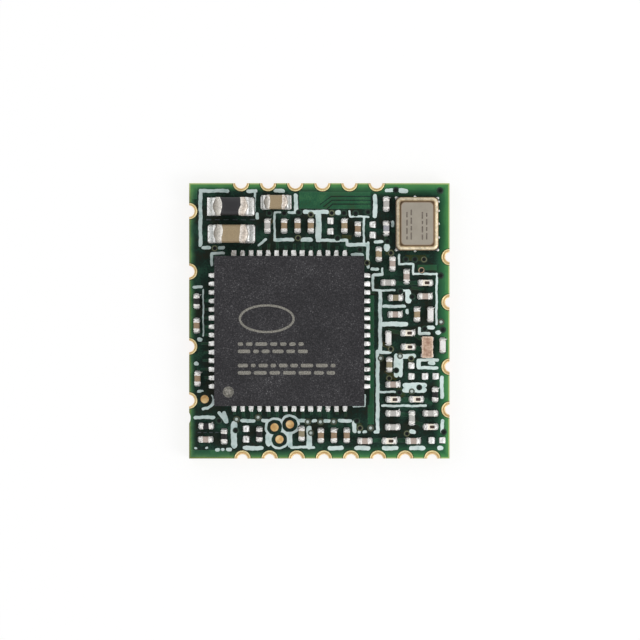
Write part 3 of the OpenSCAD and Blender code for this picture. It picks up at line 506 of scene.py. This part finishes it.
# The rolled rim's section: radius, height over the mask, and how much of the extra lip it
# takes. The outer rows circle a point on the board's edge, and the inner ones the hole's
# middle, which is outside it.
RIM = np.array([
    (0.382, -0.004, 0), (0.378, 0.008, 0), (0.362, 0.013, 0), (0.347, 0.01, 0), (0.337, 0.0, 0),
    (0.325, -0.014, 0.1), (0.312, -0.018, 0.3), (0.294, -0.024, 0.7), (0.276, -0.04, 1), (0.27, -0.06, 1),
    (0.28, -0.085, 0.8), (0.305, -0.12, 0), (0.34, -0.03, 0)])
# The tints along the section carry painted shade and highlight: the dark rows where the rim turns into the
# hole stand for the barrel's shade, and the pale rows below them for its highlight.
RIM_TINTS = colours((214, 170, 104), *[(255, 236, 176)] * 3, (116, 78, 46), (104, 70, 42), (196, 148, 96),
                    (246, 216, 164), (255, 238, 200), *[(200, 156, 104)] * 4)


def rolled_rims(contacts, lip, columns=22):
    """The rim's section carried round the half of each hole that lies on the board. The rows
    that line the hole reach lip further into it."""
    radius = RIM[:, 0] - lip * RIM[:, 2]
    out = np.linspace(0, 1, len(radius)).clip(0, 0.4) / 0.4 * HOLE_OUT
    start = np.arcsin(out / radius)
    share = np.linspace(0, 1, columns)[:, None]
    angle = start + share * (np.pi - 2 * start)
    shape = np.stack([radius * np.cos(angle), radius * np.sin(angle) - out,
                      np.broadcast_to(mask_top + RIM[:, 1], angle.shape)], axis=-1)
    ends = [shape[end].mean(0, keepdims=True).repeat(len(radius), 0)[None] for end in (0, -1)]
    shape = np.concatenate([ends[0], shape, ends[1]])
    contacts = np.array(contacts)
    return set_down(repeated(shape, len(contacts)), contacts[:, :2], contacts[:, 2])


rim_look = material("rolled_gold", tinted_look(0.3, 0.5, 0.05, 0.004), Metallic=0.45)
rims = np.concatenate([rolled_rims(north_row + west_row, 0.0), rolled_rims(south_row + east_row, 0.045)])
piece("contact_rims", rims, [rim_look], tints=np.array(RIM_TINTS)[None, None])

# ---- Printed ink --------------------------------------------------------------------------
# White epoxy ink, screened on last. It is thin, its edges wander by a few hundredths of a
# millimetre, and it lets a little green through. Its colour also turns greyer towards the west.


def ink_look(tree, shader):
    """Cloudy white, greyer from east to west."""
    place = millimetres(tree)
    clouds = noise(tree, place, 0.3, detail=4)
    shade = ramp(tree, clouds, (0.3, 180, 204, 201), (0.44, 212, 231, 227), (0.7, 230, 243, 241))
    _, east, _ = rim_distance(tree, place)
    westward_grey = calculate(tree, "MULTIPLY_ADD", east, -0.17 / half_width, 0.17)
    coat(tree, shader, blended(tree, westward_grey, shade, colour(96, 118, 118)))
    bump(tree, shader, noise(tree, place, 0.05), 0.5, 0.005)


def wandering(name, node, spacing, reach, look):
    """A copy of a flat CAD node whose outline wanders by reach, with a point every spacing."""
    shape = bmesh.new()
    shape.from_mesh(nodes[node].data)
    bmesh.ops.remove_doubles(shape, verts=shape.verts, dist=1e-4 * MM)
    bmesh.ops.dissolve_limit(shape, angle_limit=0.02, verts=shape.verts, edges=shape.edges)
    long_edges = [edge for edge in shape.edges if edge.calc_length() > 2 * spacing * MM]
    for edge in long_edges:
        bmesh.ops.subdivide_edges(shape, edges=[edge], cuts=int(edge.calc_length() / spacing / MM) - 1)
    bmesh.ops.triangulate(shape, faces=shape.faces)
    mesh = bpy.data.meshes.new(name)
    shape.to_mesh(mesh)
    shape.free()
    points = np.empty(len(mesh.vertices) * 3, np.float32)
    mesh.vertices.foreach_get("co", points)
    points = points.reshape(-1, 3)
    x, y = points[:, 0] / MM, points[:, 1] / MM
    points[:, 0] += reach * MM * (np.sin(6 * y + 5 * x) + 0.6 * np.sin(21 * y - 9 * x + 1))
    points[:, 1] += reach * MM * (np.sin(7 * x - 4 * y + 2) + 0.6 * np.sin(23 * x + 8 * y))
    mesh.vertices.foreach_set("co", points.ravel())
    mesh.materials.append(look)
    made = bpy.data.objects.new(name, mesh)
    bpy.context.scene.collection.objects.link(made)
    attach(made, "root")
    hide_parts(node)
    return made


wandering("ink", "silkscreen", 0.08, 0.012, material("white_ink", ink_look, Roughness=0.6))

# ---- Solder -------------------------------------------------------------------------------
# Reflowed tin solder. It wets each land, climbs the end of its part in a hollow slope, and
# sets with a bright skin that is slightly lumpy. Spare lands carry a pillow of it.


def solder_look(tree, shader):
    """Bright tin, with painted shade in the hollows between its lumps."""
    place = millimetres(tree)
    lumps = noise(tree, place, 0.09, detail=1.5)
    grain = noise(tree, place, 0.02, detail=2)
    shade = ramp(tree, lumps, (0.3, 200, 200, 196), (0.42, 234, 233, 229), (0.52, 254, 254, 253))
    coat(tree, shader, shade)
    roughen(tree, shader, grain, 0.2, 0.32)
    bump(tree, shader, lumps, 0.3, 0.02)


solder = material("solder", solder_look, Metallic=0.65)
paint("copper_lands", solder)
SOLDER_FILM = 0.04


def sections(x, half, low, high, corner, columns=18):
    """Closed sections across X: a super-ellipse of the given half width between two heights.

    x, half, low and high have one value for each section, and may have copies before that.
    """
    turn = np.linspace(0, 2 * np.pi, columns, endpoint=False) + np.pi / columns
    across, up = np.cos(turn), np.sin(turn)
    out = (np.abs(across) ** corner + np.abs(up) ** corner) ** (-1 / corner)
    y = half[..., None] * across * out
    middle, reach = (high + low)[..., None] / 2, (high - low)[..., None] / 2
    return np.stack(np.broadcast_arrays(x[..., None], y, middle + reach * up * out), axis=-1)


def lumpy(points, size):
    """Moves each ring in and out at random, smoothly, but not the closed ends."""
    push = rng.normal(size=points.shape[:3])
    for axis in (2, 2, 1):
        push = (push + np.roll(push, 1, axis) + np.roll(push, -1, axis)) / 2.2
    push[:, [0, -1]] = 0
    middle = points.mean(axis=2, keepdims=True)
    outward = points - middle
    outward /= np.maximum(np.linalg.norm(outward, axis=-1, keepdims=True), 1e-6)
    return points + outward * push[..., None] * size


def joints(places, turns, face, reach, climb, width, noses, lump=0.01):
    """Solder slopes: each stands on the mask's plane, starts at a terminal's face that lies
    face along +X from its place, falls hollow over reach, and narrows to a nose. The nose's
    share of the width is drawn between the two values of noses."""
    share = np.array([-0.6, -0.6, 0.0, 0.14, 0.3, 0.5, 0.7, 0.84, 0.94, 1.0, 1.0])
    fall = (1 - np.clip(share, 0, 1)) ** 1.8
    high = SOLDER_FILM * 0.8 + (climb - SOLDER_FILM * 0.8) * fall
    nose = rng.uniform(*noses, (len(places), 1))
    half = width / 2 * (1 - (1 - nose) * np.clip(share, 0, 1) ** 1.4)
    half[:, [0, -1]] = 0
    high[[0, -1]] = 0.01
    shape = lumpy(sections(face + reach * share, half, np.full(11, -0.01), high, 2.7, 20), lump)
    shape[..., 2] += mask_top
    return set_down(shape, places, turns)


# The three-part rows hold three like capacitors side by side.
ROWS = {"north_capacitors": [-1.65, -1.02, -0.4], "south_capacitors": [0.07, 0.68, 1.28]}
BIG = {"power_inductor": (0.28, 0.4), "bulk_capacitor": (0.28, 0.4), "supply_capacitor": (0.14, 0.4)}


def part_places(node):
    """Where a node's parts are: a list of (x, y), with their size and turn."""
    middle, size, turn = box_of(node)
    if node in ROWS:
        return [(x, middle[1]) for x in ROWS[node]], np.array([0.3, 0.6, size[2]]), 90
    return [(middle[0], middle[1])], size, turn


part_nodes = sorted(name for name in nodes
                    if name.startswith(("capacitor", "inductor", "marked", "resistor"))
                    or name in ROWS or name in BIG)
shapes = []
for name in part_nodes:
    places, size, turn = part_places(name)
    length, width = max(size[:2]), min(size[:2])
    reach, climb = BIG.get(name, (0.06, 0.22))
    places = places * 2
    turns = [turn] * (len(places) // 2) + [turn + 180] * (len(places) // 2)
    noses, lump = ((0.8, 1), 0.012) if name in BIG else ((0.3, 0.8), 0.005)
    shapes.append(joints(places, turns, length / 2, reach, climb, width, noses, lump))

LEAD_PITCH = 0.4
LEADS_PER_SIDE = 14
chip_middle, chip_size, _ = box_of("chip_body")
along = (np.arange(LEADS_PER_SIDE) - (LEADS_PER_SIDE - 1) / 2) * LEAD_PITCH
for turn in (0, 90, 180, 270):
    side = np.radians(turn)
    places = [(chip_middle[0] - y * np.sin(side), chip_middle[1] + y * np.cos(side)) for y in along]
    turns = [turn] * LEADS_PER_SIDE
    shapes.append(joints(places, turns, chip_size[0] / 2, 0.28, 0.2, 0.235, (0.5, 1), 0.014))
piece("solder_slopes", np.concatenate(shapes), [solder], ["solder_joints"])

SPARE_PAIRS = [(0.52, 4.44, 90), (2.5, 4.26, 90), (4.31, -2.35, 90), (5.2, -2.59, 0), (5.51, -5.6, 0),
               (-3.43, -5.3, 90)]
share = np.array([-1, -1, -0.9, -0.6, -0.2, 0.2, 0.6, 0.9, 1, 1])
pillow = sections(share * 0.155, 0.155 * np.array([0, 0.7, 0.92, 1, 1, 1, 1, 0.92, 0.7, 0]),
                  np.full(10, -0.01), 0.01 + 0.09 * (1 - share ** 4), 3, 14)
places = []
for x, y, turn in SPARE_PAIRS:
    for side in (-0.25, 0.25):
        places.append((x + side * (turn == 0), y + side * (turn == 90)))
pillows = lumpy(repeated(pillow, len(places)), 0.015)
pillows[..., 2] += mask_top
piece("solder_pillows", set_down(pillows, places, [0] * len(places)), [solder])

# Small peaks of solder at the north-east corner of about half the small parts.
share = np.array([0, 0, 0.4, 0.8, 1, 1])
peak = sections(0.12 * share, 0.04 * np.array([0, 1, 0.8, 0.4, 0.2, 0]), np.full(6, -0.005),
                0.03 + 0.1 * (1 - share), 2.5, 10)
corners = []
for name in part_nodes:
    places, size, turn = part_places(name)
    length, width = max(size[:2]), min(size[:2])
    east, north = (length, width) if turn == 0 else (width, length)
    if name not in BIG:
        corners += [(x + east / 2 - 0.04, y + north / 2 - 0.04) for x, y in places]
corners = [corner for corner in corners if rng.random() < 0.5]
peaks = lumpy(repeated(peak, len(corners)), 0.003)
peaks[..., 2] += mask_top
piece("solder_peaks", set_down(peaks, corners, rng.uniform(20, 70, len(corners))), [solder])

# ---- Small parts --------------------------------------------------------------------------
# Multilayer capacitors, thick-film resistors and wound or layered inductors. Each is a fired
# ceramic brick with tumbled edges, dipped in metal at both ends, whose dip line wavers.


end_metal = material("end_metal", tinted_look(0.35, 0.55, 0.07, 0.01, 0.68), Metallic=0.32)
# From an end's nose inwards: white where solder has wetted it, and a duller band on top. The
# large parts' ends show more of that band, crossed by dark rows of painted shade, darker in the
# west than in the east.
SMALL_END = colours(*[(255, 254, 251)] * 3, (255, 252, 248), (244, 240, 235), (255, 253, 249))
WEST_END = colours((255, 253, 248), (220, 214, 204), (120, 114, 106), (150, 144, 134), (196, 190, 180),
                   (250, 246, 238))
EAST_END = colours((255, 253, 248), (250, 244, 236), (150, 140, 128), (244, 234, 222), (214, 200, 186),
                   (254, 246, 236))
ceramic = material("fired_ceramic", tinted_look(0.4, 0.6, 0.03, 0.004))
TANS = {
    "tan": colour(160, 141, 110), "brown": colour(152, 128, 102), "orange": colour(154, 133, 104),
    "olive": colour(146, 136, 110), "pink": colour(180, 164, 154), "grey": colour(184, 182, 177),
    "blue": colour(160, 160, 166), "white": colour(240, 238, 236), "cream": colour(250, 241, 224),
    "black": colour(22, 22, 22), "ferrite": colour(42, 41, 44),
}
TINTS = {
    "power_inductor": "ferrite", "bulk_capacitor": "tan", "supply_capacitor": "tan",
    "inductor_01": "grey", "north_capacitors": "orange", "capacitor_01": "tan",
    "capacitor_02": "brown", "capacitor_03": "brown", "capacitor_04": "brown",
    "inductor_02": "grey", "inductor_03": "blue", "capacitor_05": "tan", "inductor_04": "pink",
    "inductor_05": "pink", "inductor_06": "grey", "inductor_07": "pink", "capacitor_06": "olive",
    "capacitor_07": "pink", "capacitor_08": "tan", "inductor_08": "white", "inductor_09": "white",
    "inductor_10": "white", "capacitor_09": "olive", "capacitor_10": "pink", "inductor_11": "grey",
    "inductor_12": "grey", "inductor_13": "grey", "inductor_14": "grey", "capacitor_11": "pink",
    "capacitor_12": "pink", "south_capacitors": "brown", "capacitor_13": "olive",
    "capacitor_14": "pink",
}


def brick(length, width, height, end, round_off, proud):
    """The sections of a dipped brick: its metal ends are round and stand proud of its body."""
    half = length / 2
    nose = np.array([0, 0, 0.12, 0.4, 1]) * round_off
    x = np.concatenate([nose, [end, end + 0.008, 0.5 * half + end / 2]])
    inset = np.concatenate([round_off - np.sqrt(round_off ** 2 - (round_off - nose) ** 2),
                            [0.4 * proud, proud, proud]])
    x = np.concatenate([x - half, half - x[::-1]])
    inset = np.concatenate([inset, inset[::-1]])
    shrink = np.ones_like(x)
    shrink[[0, -1]] = 0
    wide = np.maximum(width / 2 - inset, 0.3 * width) * shrink
    tall = (height / 2 - 0.6 * inset) * shrink
    return sections(x, wide, height / 2 - tall, height / 2 + tall, 7, 24)


METAL_ROWS = 5
BOW = 0.06
# How far each end's metal reaches, and how far its middle bulges on the large parts.
BANDS = {"power_inductor": 0.36, "bulk_capacitor": 0.38, "supply_capacitor": 0.28}
SMALL_BAND, WHITE_BAND = 0.16, 0.1
BULGE = {"power_inductor": 0.1, "bulk_capacitor": 0.02, "supply_capacitor": 0.02}
for name in part_nodes:
    places, size, turn = part_places(name)
    length, width, height = max(size[:2]), min(size[:2]), size[2]
    big = name in BIG
    end = BANDS.get(name, WHITE_BAND if TINTS.get(name) == "white" else SMALL_BAND)
    shape = repeated(brick(length, width, height, end, 0.16 if big else 0.1, 0.012), len(places))
    wave = rng.normal(size=(len(places), 24)) * (0.02 if big else 0.01)
    wave = (wave + np.roll(wave, 1, 1) + np.roll(wave, -1, 1)) / 2
    across = (shape[:, METAL_ROWS, :, 1] / (width / 2)) ** 2
    wave += BULGE.get(name, 0) * (1 - across)
    for row in range(1, METAL_ROWS - 1):
        shape[:, row, :, 0] += (2 if big else 1) * BOW * across
        shape[:, -1 - row, :, 0] -= (2 if big else 1) * BOW * across
    for row in (METAL_ROWS - 1, METAL_ROWS, METAL_ROWS + 1):
        shape[:, row, :, 0] += wave
        shape[:, -1 - row, :, 0] -= np.roll(wave, 3, 1)
    shape[..., 2] += mask_top + SOLDER_FILM
    rows = shape.shape[1] - 1
    face_look = np.zeros((1, rows, 1))
    face_look[:, METAL_ROWS + 1:rows - METAL_ROWS - 1] = 1
    body = TANS[TINTS.get(name, "black" if name.startswith("resistor") else "cream")]
    west, east = (WEST_END, EAST_END) if big else (SMALL_END, SMALL_END)
    tint = np.array(west + [body] * (rows + 1 - 2 * len(west)) + east[::-1])[None, :, None]
    piece(name + "_part", set_down(shape, places, [turn] * len(places)), [end_metal, ceramic],
          [name], face_look, tint)

# The marked inductors carry a dark polarity mark on top, a little past the middle.
MARK_PAST = 0.07


def loops(half_x, half_y, corner, profile, columns=48):
    """Stacked round-cornered loops: the profile gives each loop's inset and height."""
    turn = np.linspace(0, 2 * np.pi, columns, endpoint=False) + np.pi / columns
    across, up = np.cos(turn), np.sin(turn)
    inset, height = np.array(profile).T
    inner_x, inner_y = half_x - corner, half_y - corner
    radius = np.maximum(corner - inset, 0.02)[:, None]
    pull = np.maximum(inset - corner + 0.02, 0)[:, None]
    x = np.sign(across) * np.maximum(inner_x - pull, 0) + radius * across
    y = np.sign(up) * np.maximum(inner_y - pull, 0) + radius * up
    closed = inset >= min(half_x, half_y)
    x[closed], y[closed] = 0, 0
    return np.stack([x, y, np.broadcast_to(height[:, None], x.shape)], axis=-1)[None]


mark_shape = loops(0.11, 0.07, 0.03, [(1, 0.004), (0.012, 0.004), (0, 0), (0, -0.01), (1, -0.01)], 24)
marks = np.array([(*(box_of(name)[0][:2] + (MARK_PAST, 0)), top_of(name))
                  for name in part_nodes if name.startswith("marked")])
piece("polarity_marks", mark_shape + marks[:, None, None], [ceramic],
      tints=np.array(colour(66, 48, 38)))

# ---- Radio chip ---------------------------------------------------------------------------
# A flat leadless package: black epoxy filled with silica is moulded over the die and the
# lead frame, and then sawn square. Laser marks on top are greyer than the skin: two lines of
# plain strokes under a plain oval.


def mould_look(tree, shader):
    """Black epoxy with pale specks of its filler."""
    place = millimetres(tree)
    filler = noise(tree, place, 0.06, detail=3, rough=0.8)
    clouds = noise(tree, place, 1.5, detail=2)
    mixed = calculate(tree, "MULTIPLY_ADD", filler, 0.85, calculate(tree, "MULTIPLY", clouds, 0.15))
    shade = ramp(tree, mixed, (0.32, 22, 21, 24), (0.48, 41, 40, 43),
                 (0.6, 62, 61, 64), (0.7, 132, 131, 132))
    coat(tree, shader, shade)
    bump(tree, shader, filler, 0.5, 0.012)


def marking_look(tree, shader):
    """Epoxy that the laser has turned a speckled grey."""
    place = millimetres(tree)
    speckle = noise(tree, place, 0.04, detail=3)
    shade = ramp(tree, speckle, (0.38, 88, 86, 80), (0.5, 132, 129, 121), (0.65, 160, 157, 148))
    coat(tree, shader, shade)
    bump(tree, shader, speckle, 0.5, 0.006)


def frame_look(tree, shader):
    """Matt tin on the frame's faces, and bare copper where the saw cut the leads."""
    place = millimetres(tree)
    rolled = noise(tree, place, 0.15, detail=3, stretch=(1, 4, 1))
    tin = ramp(tree, rolled, (0.35, 176, 174, 168), (0.65, 212, 210, 205))
    copper = ramp(tree, rolled, (0.35, 150, 112, 88), (0.65, 186, 148, 120))
    coat(tree, shader, blended(tree, level(tree), copper, tin))
    bump(tree, shader, rolled, 0.4, 0.006)


def die_look(tree, shader):
    """Polished silicon, with the faint blocks of its circuits."""
    place = millimetres(tree)
    blocks = tree.nodes.new("ShaderNodeTexVoronoi")
    blocks.distance = "CHEBYCHEV"
    blocks.inputs["Scale"].default_value = 2.5
    tree.links.new(place, blocks.inputs["Vector"])
    shade = ramp(tree, blocks.outputs["Distance"], (0.1, 62, 58, 74), (0.6, 96, 92, 104))
    coat(tree, shader, shade)
    bump(tree, shader, noise(tree, place, 0.08), 0.2, 0.002)


mould = material("mould_compound", mould_look, Roughness=0.6, Specular_IOR_Level=0.3)
marking = material("laser_marking", marking_look, Roughness=0.7)
paint("chip_body", mould)
paint("chip_lead_frame", material("lead_frame", frame_look, Metallic=0.8, Roughness=0.4))
paint("chip_die", material("silicon", die_look, Metallic=0.5, Roughness=0.2))
chip_top = top_of("chip_body")
MARK_RISE = 0.004


def stroke_row(start, last, least, shortest, longest, gap):
    """Plain strokes of random length along a line: the middle and the length of each."""
    while start < last - least:
        length = min(rng.uniform(shortest, longest), last - start)
        yield start + length / 2, length
        start += length + gap


def dashes(strokes, width, rise=MARK_RISE):
    """Flat round-ended strokes, each given as (x, y, z, turn, length)."""
    strokes = np.array(strokes)
    profile = [(9, rise), (0.01, rise), (0, 0), (0, -0.01), (9, -0.01)]
    shapes = [loops(length / 2, width / 2, width * 0.45, profile, 24) for length in strokes[:, 4]]
    shapes = set_down(np.concatenate(shapes), strokes[:, :2], strokes[:, 3])
    shapes[..., 2] += strokes[:, 2, None, None]
    return shapes


strokes = [(x, line, chip_top, 0, length)
           for last, line in ((-0.5, -1.08), (-0.5, -1.42), (0.75, -2.08), (0.75, -2.42))
           for x, length in stroke_row(-3.8, last, 0.2, 0.22, 0.62, 0.13)]
piece("chip_strokes", dashes(strokes, 0.17), [marking])

turn = np.linspace(0, 2 * np.pi, 72)
oval = np.stack([1.25 * np.cos(turn), 0.62 * np.sin(turn)], axis=1) + (-2.45, 0.1)
line = ribbon(0.11, oval, MARK_RISE)
line[..., 2] += chip_top - mask_top
piece("chip_oval", line[None], [marking])

dot_at = chip_middle[:2] - LEAD_PITCH * (LEADS_PER_SIDE - 1) / 2 - 0.24
dot_profile = [(0, -0.02), (0.17, -0.018), (0.22, -0.01), (0.245, 0.003), (0.255, 0), (0, -0.04)]
dot_profile = np.array(dot_profile)
piece("pin_one_dot", rings_at([dot_at], dot_profile[:, 0], chip_top + dot_profile[:, 1], 32), [marking])

# ---- Crystal ------------------------------------------------------------------------------
# A quartz blank in a fired ceramic case with a gold-plated seal ring, closed by a metal lid
# that is seam-welded all round. The weld leaves a rolled, straw-coloured bead.


def lid_look(tree, shader):
    """The piece's own tint, brushed one way and worn in places."""
    tint = tree.nodes.new("ShaderNodeAttribute")
    tint.attribute_name = "tint"
    place = millimetres(tree)
    brushed = noise(tree, place, 0.05, detail=3, stretch=(1, 0.3, 1))
    clouds = noise(tree, place, 0.5, detail=3)
    mixed = calculate(tree, "MULTIPLY_ADD", brushed, 0.4, calculate(tree, "MULTIPLY", clouds, 0.6))
    worn = calculate(tree, "MULTIPLY_ADD", mixed, -0.5, 0.4)
    coat(tree, shader, blended(tree, worn, tint.outputs["Color"], colour(106, 97, 86)))
    roughen(tree, shader, brushed, 0.2, 0.42)
    bump(tree, shader, brushed, 0.3, 0.003)


def ceramic_look(tree, shader):
    """Dark brown alumina with a fine grain."""
    place = millimetres(tree)
    grain = noise(tree, place, 0.05, detail=4)
    shade = ramp(tree, grain, (0.35, 64, 58, 54), (0.6, 88, 80, 74))
    coat(tree, shader, shade)
    bump(tree, shader, grain, 0.5, 0.006)


def blank_look(tree, shader):
    """Lapped quartz, frosted and nearly clear."""
    frost = noise(tree, millimetres(tree), 0.04, detail=4)
    tree.links.new(ramp(tree, frost, (0.35, 206, 214, 214), (0.65, 236, 240, 240)),
                   shader.inputs["Base Color"])
    roughen(tree, shader, frost, 0.3, 0.15)
    bump(tree, shader, frost, 0.3, 0.002)


paint("crystal_base", material("crystal_ceramic", ceramic_look, Roughness=0.55))
paint("crystal_blank", material("quartz", blank_look, Transmission_Weight=0.6, IOR=1.54))
plated = material("plated_ring", tinted_look(0.35, 0.6, 0.12, 0.012, 0.72), Metallic=0.35)
lid_metal = material("lid_metal", lid_look, Metallic=0.3)
middle, size, _ = box_of("crystal_seal_ring")
ring_low, ring_high = (corner.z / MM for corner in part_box("crystal_seal_ring"))
lid_half = box_of("crystal_lid")[1] / 2
lid_high = top_of("crystal_lid")
land = size[0] / 2 - lid_half[0]
RING_PROFILE = [
    (9, ring_high - 0.01), (land + 0.12, ring_high - 0.01), (land + 0.02, ring_high + 0.02),
    (land - 0.03, ring_high + 0.045), (0.62 * land, ring_high + 0.05), (0.35 * land, ring_high + 0.03),
    (0.14 * land, ring_high - 0.01), (0.02, ring_high - 0.05), (0.0, ring_low + 0.05), (0.0, ring_low),
    (9, ring_low)]
RING_TINTS = colours(*[(110, 88, 62)] * 2, (126, 100, 70), (222, 196, 152), *[(255, 240, 210)] * 2,
                     (250, 230, 192), (222, 190, 144), *[(180, 144, 100)] * 3)
LID_PROFILE = [(9, lid_high), (0.07, lid_high), (0.045, lid_high - 0.004), (0.02, lid_high - 0.012),
               (0.0, lid_high - 0.03), (0.0, ring_high), (9, ring_high)]
LID_TINTS = colours(*[(176, 168, 154)] * 2, (150, 130, 108), *[(116, 92, 64)] * 4)
# Painted light: the bead is paler on its east side, where the lamp falls, and browner in the west.
around = np.linspace(0, 2 * np.pi, 48, endpoint=False) + np.pi / 48
painted_lamp_light = (0.8 + 0.2 * np.cos(around + 0.6))[None, None, :, None] * np.array([1, 1, 1, 0]) + [0, 0, 0, 1]
ring = loops(size[0] / 2 + 0.02, size[1] / 2 + 0.02, 0.27, RING_PROFILE) + [middle[0], middle[1], 0]
piece("weld_bead", ring, [plated], ["crystal_seal_ring"],
      tints=np.array(RING_TINTS)[None, :, None] * painted_lamp_light)
lid = loops(lid_half[0], lid_half[1], 0.24, LID_PROFILE) + [middle[0], middle[1], 0]
piece("welded_lid", lid, [lid_metal], ["crystal_lid"],
      tints=np.array(LID_TINTS)[None, :, None])

# Faint laser strokes on the lid, in two columns.
strokes = [(middle[0] + column + share, middle[1] + y, lid_high, 90, length)
           for column in (-0.38, 0.34) for share in (-0.1, 0.1)
           for y, length in stroke_row(-0.75, 0.72, 0.15, 0.14, 0.34, 0.09)]
faint = material("faint_marking", lambda tree, shader: tree.links.new(
    ramp(tree, noise(tree, millimetres(tree), 0.06), (0.35, 92, 84, 75),
         (0.65, 124, 115, 104)), shader.inputs["Base Color"]), Roughness=0.6)
piece("lid_strokes", dashes(strokes, 0.07, 0.002), [faint])

# Solder drops in the case's castellations.
drop_at = [(middle[0] + x * size[0] / 2, middle[1] + y * size[1] / 2)
           for x, y in ((1.0, 0.98), (1.03, 0.85), (1.03, 0.0), (1.03, -0.52), (1.0, -1.0), (-0.1, 1.03),
                        (-0.1, -1.03), (-1.0, 1.0), (-1.0, -1.0), (1.03, 0.5))]
drop = np.array([(0, 0.16), (0.03, 0.15), (0.055, 0.11), (0.07, 0.05), (0.07, 0.0), (0, 0.0)])
drops = rings_at(drop_at, drop[:, 0], mask_top + 0.12 + drop[:, 1], 14)
piece("castellation_drops", drops, [solder])

# ---- Diplexer -----------------------------------------------------------------------------
# A filter of co-fired ceramic with silver terminals wrapped round its two long sides.


def filter_look(tree, shader):
    """Pinkish brown ceramic, clouded."""
    place = millimetres(tree)
    clouds = noise(tree, place, 0.16, detail=5)
    shade = ramp(tree, clouds, (0.34, 156, 120, 100), (0.5, 184, 152, 130), (0.64, 210, 182, 160))
    coat(tree, shader, shade)
    bump(tree, shader, clouds, 0.4, 0.01)


filter_ceramic = material("filter_ceramic", filter_look, Roughness=0.55)
middle, size, _ = box_of("diplexer")
low, high = (corner.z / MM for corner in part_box("diplexer"))
FILTER_PROFILE = [(9, high), (0.06, high), (0.035, high + 0.004), (0.015, high - 0.004),
                  (0.0, high - 0.03), (0.0, low), (9, low)]
body = loops(size[0] / 2, size[1] / 2, 0.05, FILTER_PROFILE)
waist = 0.03 * (1 - (body[..., 1] / (size[1] / 2)) ** 2)
body[..., 0] -= np.sign(body[..., 0]) * waist
face_look = np.zeros((1, len(FILTER_PROFILE) - 1, 1))
face_look[:, 1:5] = 1
piece("filter", body + np.array([middle[0], middle[1], 0]), [filter_ceramic, end_metal],
      ["diplexer"], face_look, np.array(colour(240, 214, 192)))
side = [(middle[0] + x * (size[0] / 2), middle[1] + y * size[1] * 0.41) for x in (-1, 1) for y in (-1, 0, 1)]
turns = [180] * 3 + [0] * 3
piece("filter_solder", joints(side, turns, -0.03, 0.04, 0.2, 0.13, (0.6, 0.9)), [solder])

# ---- Floor, lamps and camera --------------------------------------------------------------
# A white table under soft studio light, seen from straight above through a long lens.

CAMERA_HEIGHT = 150
FRAME_WIDTH = 29.98
SENSOR = 36
GLOW = 1.045
GLOW_SHARE = 0.77


def floor_look(tree, shader):
    """White for the camera and in reflections. The lit share keeps the object's shadow."""
    rays = tree.nodes.new("ShaderNodeLightPath")
    glow = tree.nodes.new("ShaderNodeEmission")
    glow.inputs["Strength"].default_value = GLOW
    mix = tree.nodes.new("ShaderNodeMixShader")
    seen = calculate(tree, "MAXIMUM", rays.outputs["Is Camera Ray"],
                     calculate(tree, "MAXIMUM", rays.outputs["Is Glossy Ray"],
                               rays.outputs["Is Transmission Ray"]))
    tree.links.new(calculate(tree, "MULTIPLY", seen, GLOW_SHARE), mix.inputs[0])
    tree.links.new(shader.outputs[0], mix.inputs[1])
    tree.links.new(glow.outputs[0], mix.inputs[2])
    tree.links.new(mix.outputs[0], tree.nodes["Material Output"].inputs["Surface"])


bpy.ops.mesh.primitive_plane_add(size=3)
floor = bpy.context.object
floor.name = "table"
floor.data.materials.append(material("white_table", floor_look, Base_Color=(0.92, 0.92, 0.92, 1),
                                     Roughness=0.9))

world = bpy.data.worlds.new("studio")
world.use_nodes = True
bpy.context.scene.world = world
sky = world.node_tree
direction = sky.nodes.new("ShaderNodeTexCoord")
split = sky.nodes.new("ShaderNodeSeparateXYZ")
sky.links.new(direction.outputs["Generated"], split.inputs[0])
shade = ramp(sky, split.outputs[2], (0.0, (0.7, 0.7, 0.71, 1)), (0.35, (1, 1, 1, 1)),
             (0.9, (1, 1, 1, 1)), (0.96, (0.06, 0.06, 0.06, 1)))
sky.links.new(shade, sky.nodes["Background"].inputs["Color"])
sky.nodes["Background"].inputs["Strength"].default_value = 0.85


def lamp(name, place, size, power):
    """A square soft box at place, in millimetres, facing the origin."""
    light = bpy.data.lights.new(name, "AREA")
    light.size = size * MM
    light.energy = power
    made = bpy.data.objects.new(name, light)
    made.location = [value * MM for value in place]
    direction = -made.location
    made.rotation_euler = direction.to_track_quat("-Z", "Y").to_euler()
    bpy.context.scene.collection.objects.link(made)


lamp("key", (120, -60, 110), 70, 0.08)
lamp("fill", (-110, 80, 120), 120, 0.03)

camera = bpy.data.objects.new("camera", bpy.data.cameras.new("camera"))
camera.data.sensor_width = SENSOR
camera.data.lens = CAMERA_HEIGHT / FRAME_WIDTH * SENSOR
camera.data.clip_start = 0.001
camera.location = (0.03 * MM, 0.04 * MM, (CAMERA_HEIGHT + mask_top) * MM)
bpy.context.scene.collection.objects.link(camera)
bpy.context.scene.camera = camera
bpy.context.scene.view_settings.view_transform = "Standard"
